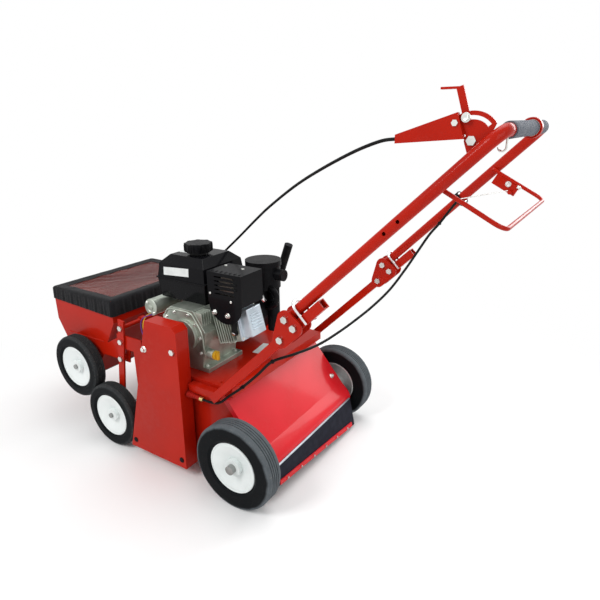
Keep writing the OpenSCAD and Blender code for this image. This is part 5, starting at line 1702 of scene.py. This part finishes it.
@dataclass
class EngineTrim(Trim):
    """Bolts, louvres, plug lead, starter cap, wires and bare labels of the engine."""

    fin_low: Triple = (-94.0, -194.0, 446.0)
    fin_high: Triple = (-60.0, -190.6, 499.5)
    fin_pitch: float = 9.0
    fins: int = 5
    edge_round: float = 1.2
    head_place: Triple = (-124.0, -105.0, 426.0)
    head_tilt: float = -15.0
    head_far: float = 420.0
    bolt_y: float = 36.0
    bolt_z: float = 40.0
    bolt_turn: float = 80.0
    bolt_size: float = 0.6
    rib_low: Triple = (-22.0, -2.0, -0.5)
    rib_high: Triple = (22.0, 2.0, 2.6)
    rib_pitch: float = 8.4
    ribs: int = 6
    cap_ribs: int = 18
    cap_rib_x: Pair = (-1.6, 1.6)
    cap_rib_y: Pair = (-0.6, 1.1)
    cap_rib_round: float = 0.5
    cap_rise: float = 0.34

    def build(self) -> None:
        """Make every piece of the engine's trim."""
        for detail in ENGINE:
            detail.build(self.hardware)
        fin = Bench.block("case_fin", self.fin_low, self.fin_high, self.edge_round)
        steps = [Matrix.Translation((0.0, self.fin_pitch * i * MM, 0.0)) for i in range(self.fins)]
        self.add(Bench.repeat(fin, "case_fins", steps, once=True), CAST)
        self.head()
        self.fuel_cap()

    def head(self) -> None:
        """Bolts and ribs of the tilted valve cover."""
        tilt = Matrix.Rotation(math.radians(self.head_tilt), 3, "Y")
        middle, toward = Vector(self.head_place), tuple(tilt @ Vector((-1.0, 0.0, 0.0)))
        spots = []
        for y in (-self.bolt_y, self.bolt_y):
            for side in (-1.0, 1.0):
                start = middle + tilt @ Vector((self.head_far, y, side * self.bolt_z))
                spots.append(touch("valve_cover engine_block", tuple(start), toward,
                                   self.bolt_size, side * self.bolt_turn))
        self.hardware.fix("valve_cover_bolts", Fixing.HEX, spots)
        start = middle + tilt @ Vector((self.head_far, 0.0, 0.0))
        face = touch("valve_cover", tuple(start), toward).matrix()
        rib = Bench.block("valve_rib", self.rib_low, self.rib_high, self.edge_round, 3)
        first = (self.ribs - 1) / 2
        steps = [face @ Matrix.Translation((0.0, self.rib_pitch * (i - first) * MM, 0.0))
                 for i in range(self.ribs)]
        self.add(Bench.repeat(rib, "valve_cover_ribs", steps, once=True),
                 Dress(Slot.CAST, "blue_alloy"))

    def fuel_cap(self) -> None:
        """Grip ribs of the fuel cap."""
        low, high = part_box("fuel_cap")
        middle, radius = (low + high) / 2, (high - low).x / 2
        rise = (high - low).z / MM * self.cap_rise
        low, high = zip(self.cap_rib_x, self.cap_rib_y, (-rise, rise))
        rib = Bench.block("cap_rib", low, high, self.cap_rib_round)
        places = []
        for a in (2 * math.pi * i / self.cap_ribs for i in range(self.cap_ribs)):
            edge = middle + Vector((math.sin(a), -math.cos(a), 0.0)) * radius
            places.append(Matrix.Translation(edge) @ Matrix.Rotation(a + math.pi, 4, "Z"))
        self.add(Bench.repeat(rib, "fuel_cap_ribs", places, once=True), MOULDED.on(Body.FUEL_CAP))


@dataclass
class ControlTrim(Trim):
    """Bolts, straps, clip and cable ties of the handle and its controls."""

    clip_seat: float = 19.2
    clip_bolt: float = 0.8
    tie_seat: float = 5.0
    tie_head: tuple[Triple, Triple] = ((-3.2, -2.6, -0.4), (3.2, 2.6, 4.2))
    tie_tail: tuple[Triple, Triple] = ((-1.6, -0.7, 3.0), (1.6, 0.7, 19.0))
    tie_out: Triple = (0.25, -1.0, 0.35)
    tie_band: tuple[Pair, ...] = (
        (3.6, -2.2), (5.0, -2.2), (5.4, -1.6), (5.4, 1.6), (5.0, 2.2), (3.6, 2.2))
    ties: tuple[tuple[Triple, Triple, Body], ...] = (
        ((234.0, -266.0, 458.0), (-85.0, -42.0, -60.0), Body.CHASSIS),
        ((138.0, -267.0, 362.0), (-97.0, 0.0, -89.0), Body.CHASSIS),
        ((461.0, 224.0, 733.0), (-50.0, -2.0, -71.0), Body.HANDLE))

    def build(self) -> None:
        """Make every piece of the controls' trim."""
        for detail in CONTROLS:
            detail.build(self.hardware)
        seat = self.seat(CLIP, Vector(CLIP_AXIS), LEFT, self.clip_seat, self.clip_bolt)
        self.hardware.fix("clutch_clip_bolt", Fixing.HEX, [seat], ZINC.on(Body.HANDLE))
        for i, (place, along, body) in enumerate(self.ties):
            self.tie(f"cable_tie_{i}", place, along, body)

    @staticmethod
    def seat(place: Triple, axis: Vector, toward: Triple, radius: float, size: float = 1.0) -> Spot:
        """Seat on the side of a round piece.

        Args:
            place: The piece's middle.
            axis: Its axis, of length 1.
            toward: The side.
            radius: The seat's distance from the axis.
            size: Size of what sits there.

        Returns:
            The seat.
        """
        out = (Vector(toward) - axis * axis.dot(Vector(toward))).normalized()
        return Spot(tuple(Vector(place) + out * radius), tuple(out), size)

    def tie(self, name: str, place: Triple, along: Triple, body: Body) -> None:
        """Cable tie with its head and tail.

        Args:
            name: The piece's name.
            place: Its middle in millimetres.
            along: The cable's direction.
            body: What it moves with.
        """
        band = Bench.turned(f"{name}_band", self.tie_band, place, along, 24)
        head = Bench.block(f"{name}_head", *self.tie_head, round_mm=0.8)
        tail = Bench.block(f"{name}_tail", *self.tie_tail, round_mm=0.5)
        seat = self.seat(place, Vector(along).normalized(), self.tie_out, self.tie_seat)
        for piece in (head, tail):
            piece.data.transform(seat.matrix())
        self.add(Bench.join(name, [band, head, tail]), MOULDED.on(body))


@dataclass
class ChassisTrim(Trim):
    """Plugs, bolts, boot, bare plate, lip and ridge of the sheet metal."""

    strip_low: Triple = (193.9, -222.0, 101.0)
    strip_high: Triple = (198.4, 222.0, 106.6)
    hood_end: Triple = (191.0, 0.0, 108.0)
    hood_down: Triple = (149.0, 0.0, -179.0)
    hood_half: float = 233.0
    hood_back: float = 60.0
    hood_clear: float = 80.0
    roll: tuple[Pair, ...] = (
        (58.0, -0.8), (54.0, 0.2), (44.0, 1.8), (34.0, 3.2), (25.0, 4.2), (17.0, 4.4), (10.0, 3.6),
        (5.0, 2.0), (1.5, -0.6), (6.0, -1.4))

    def build(self) -> None:
        """Make every piece of the chassis's trim."""
        for detail in CHASSIS:
            detail.build(self.hardware)
        strip = Bench.block("flap_edge_strip", self.strip_low, self.strip_high, round_mm=0.9)
        self.add(strip, Dress(Slot.PLATED, "blue_alloy"))
        self.hood_roll()

    def hood_roll(self) -> None:
        """Rolled lower edge of the hood."""
        down = Vector(self.hood_down).normalized()
        out, back = Vector((-down.z, 0.0, down.x)), down * self.hood_back
        start = Vector(self.hood_end) - back + out * self.hood_clear
        end = Vector(touch("rear_hood", tuple(start), tuple(-out)).place) + back
        left = end + Vector(LEFT) * self.hood_half
        roll = Bench.start(Start.LOOP, "hood_roll", ORIGIN, vertices=len(self.roll), radius=1.0,
                           fill_type="NGON")
        for vert, (up, rise) in zip(roll.data.vertices, self.roll):
            vert.co = (left - down * up + out * rise) * MM
        Bench.edit(roll)
        width = (0.0, 2 * self.hood_half * MM, 0.0)
        bpy.ops.mesh.extrude_region_move(TRANSFORM_OT_translate={"value": width})
        bpy.ops.mesh.select_all(action="SELECT")
        bpy.ops.mesh.normals_make_consistent(inside=False)
        # The roll takes the lit copy of the red paint, whose brighter colour is painted highlight.
        self.add(Bench.done(roll), Dress(Slot.RED, "red_enamel_painted_highlight"))


@dataclass
class WheelTrim(Trim):
    """Rolled rim edges of the six wheels; a section's radii count inwards from the rim."""

    edge: tuple[Pair, ...] = (
        (5.0, -3.0), (0.3, -3.0), (0.3, 1.2), (1.2, 2.0), (3.0, 2.0), (4.2, 1.0))
    steps: int = 64

    def build(self) -> None:
        """Make the rim edges."""
        for wheel in (REAR, FRONT, SEED):
            low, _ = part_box(wheel.rim)
            section = tuple((wheel.rim_r - inset, at) for inset, at in self.edge)
            for side, hand, body in ((LEFT, "left", wheel.left), (RIGHT, "right", wheel.right)):
                centre = (wheel.x, -side[1] * low.y / MM, wheel.z)
                Turned(f"{wheel.name}_rim_edge_{hand}", Dress(Slot.RIM, "white_enamel", body),
                       self.steps, centre, side, section).build(self.hardware)


def main() -> None:
    """Build the scene in order."""
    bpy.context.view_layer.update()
    studio = Studio()
    studio.camera()
    shop = PaintShop()
    ControlCables(shop).build()
    shop.coat_nodes()
    SeedCover(shop).build()
    hardware = Hardware(shop)
    for trim in (EngineTrim, ControlTrim, ChassisTrim, WheelTrim):
        trim(hardware).build()
    hardware.clear()
    studio.light()
    studio.floor()


if __name__ == "__main__":
    logging.basicConfig(level=logging.INFO, format="%(name)s: %(message)s")
    main()
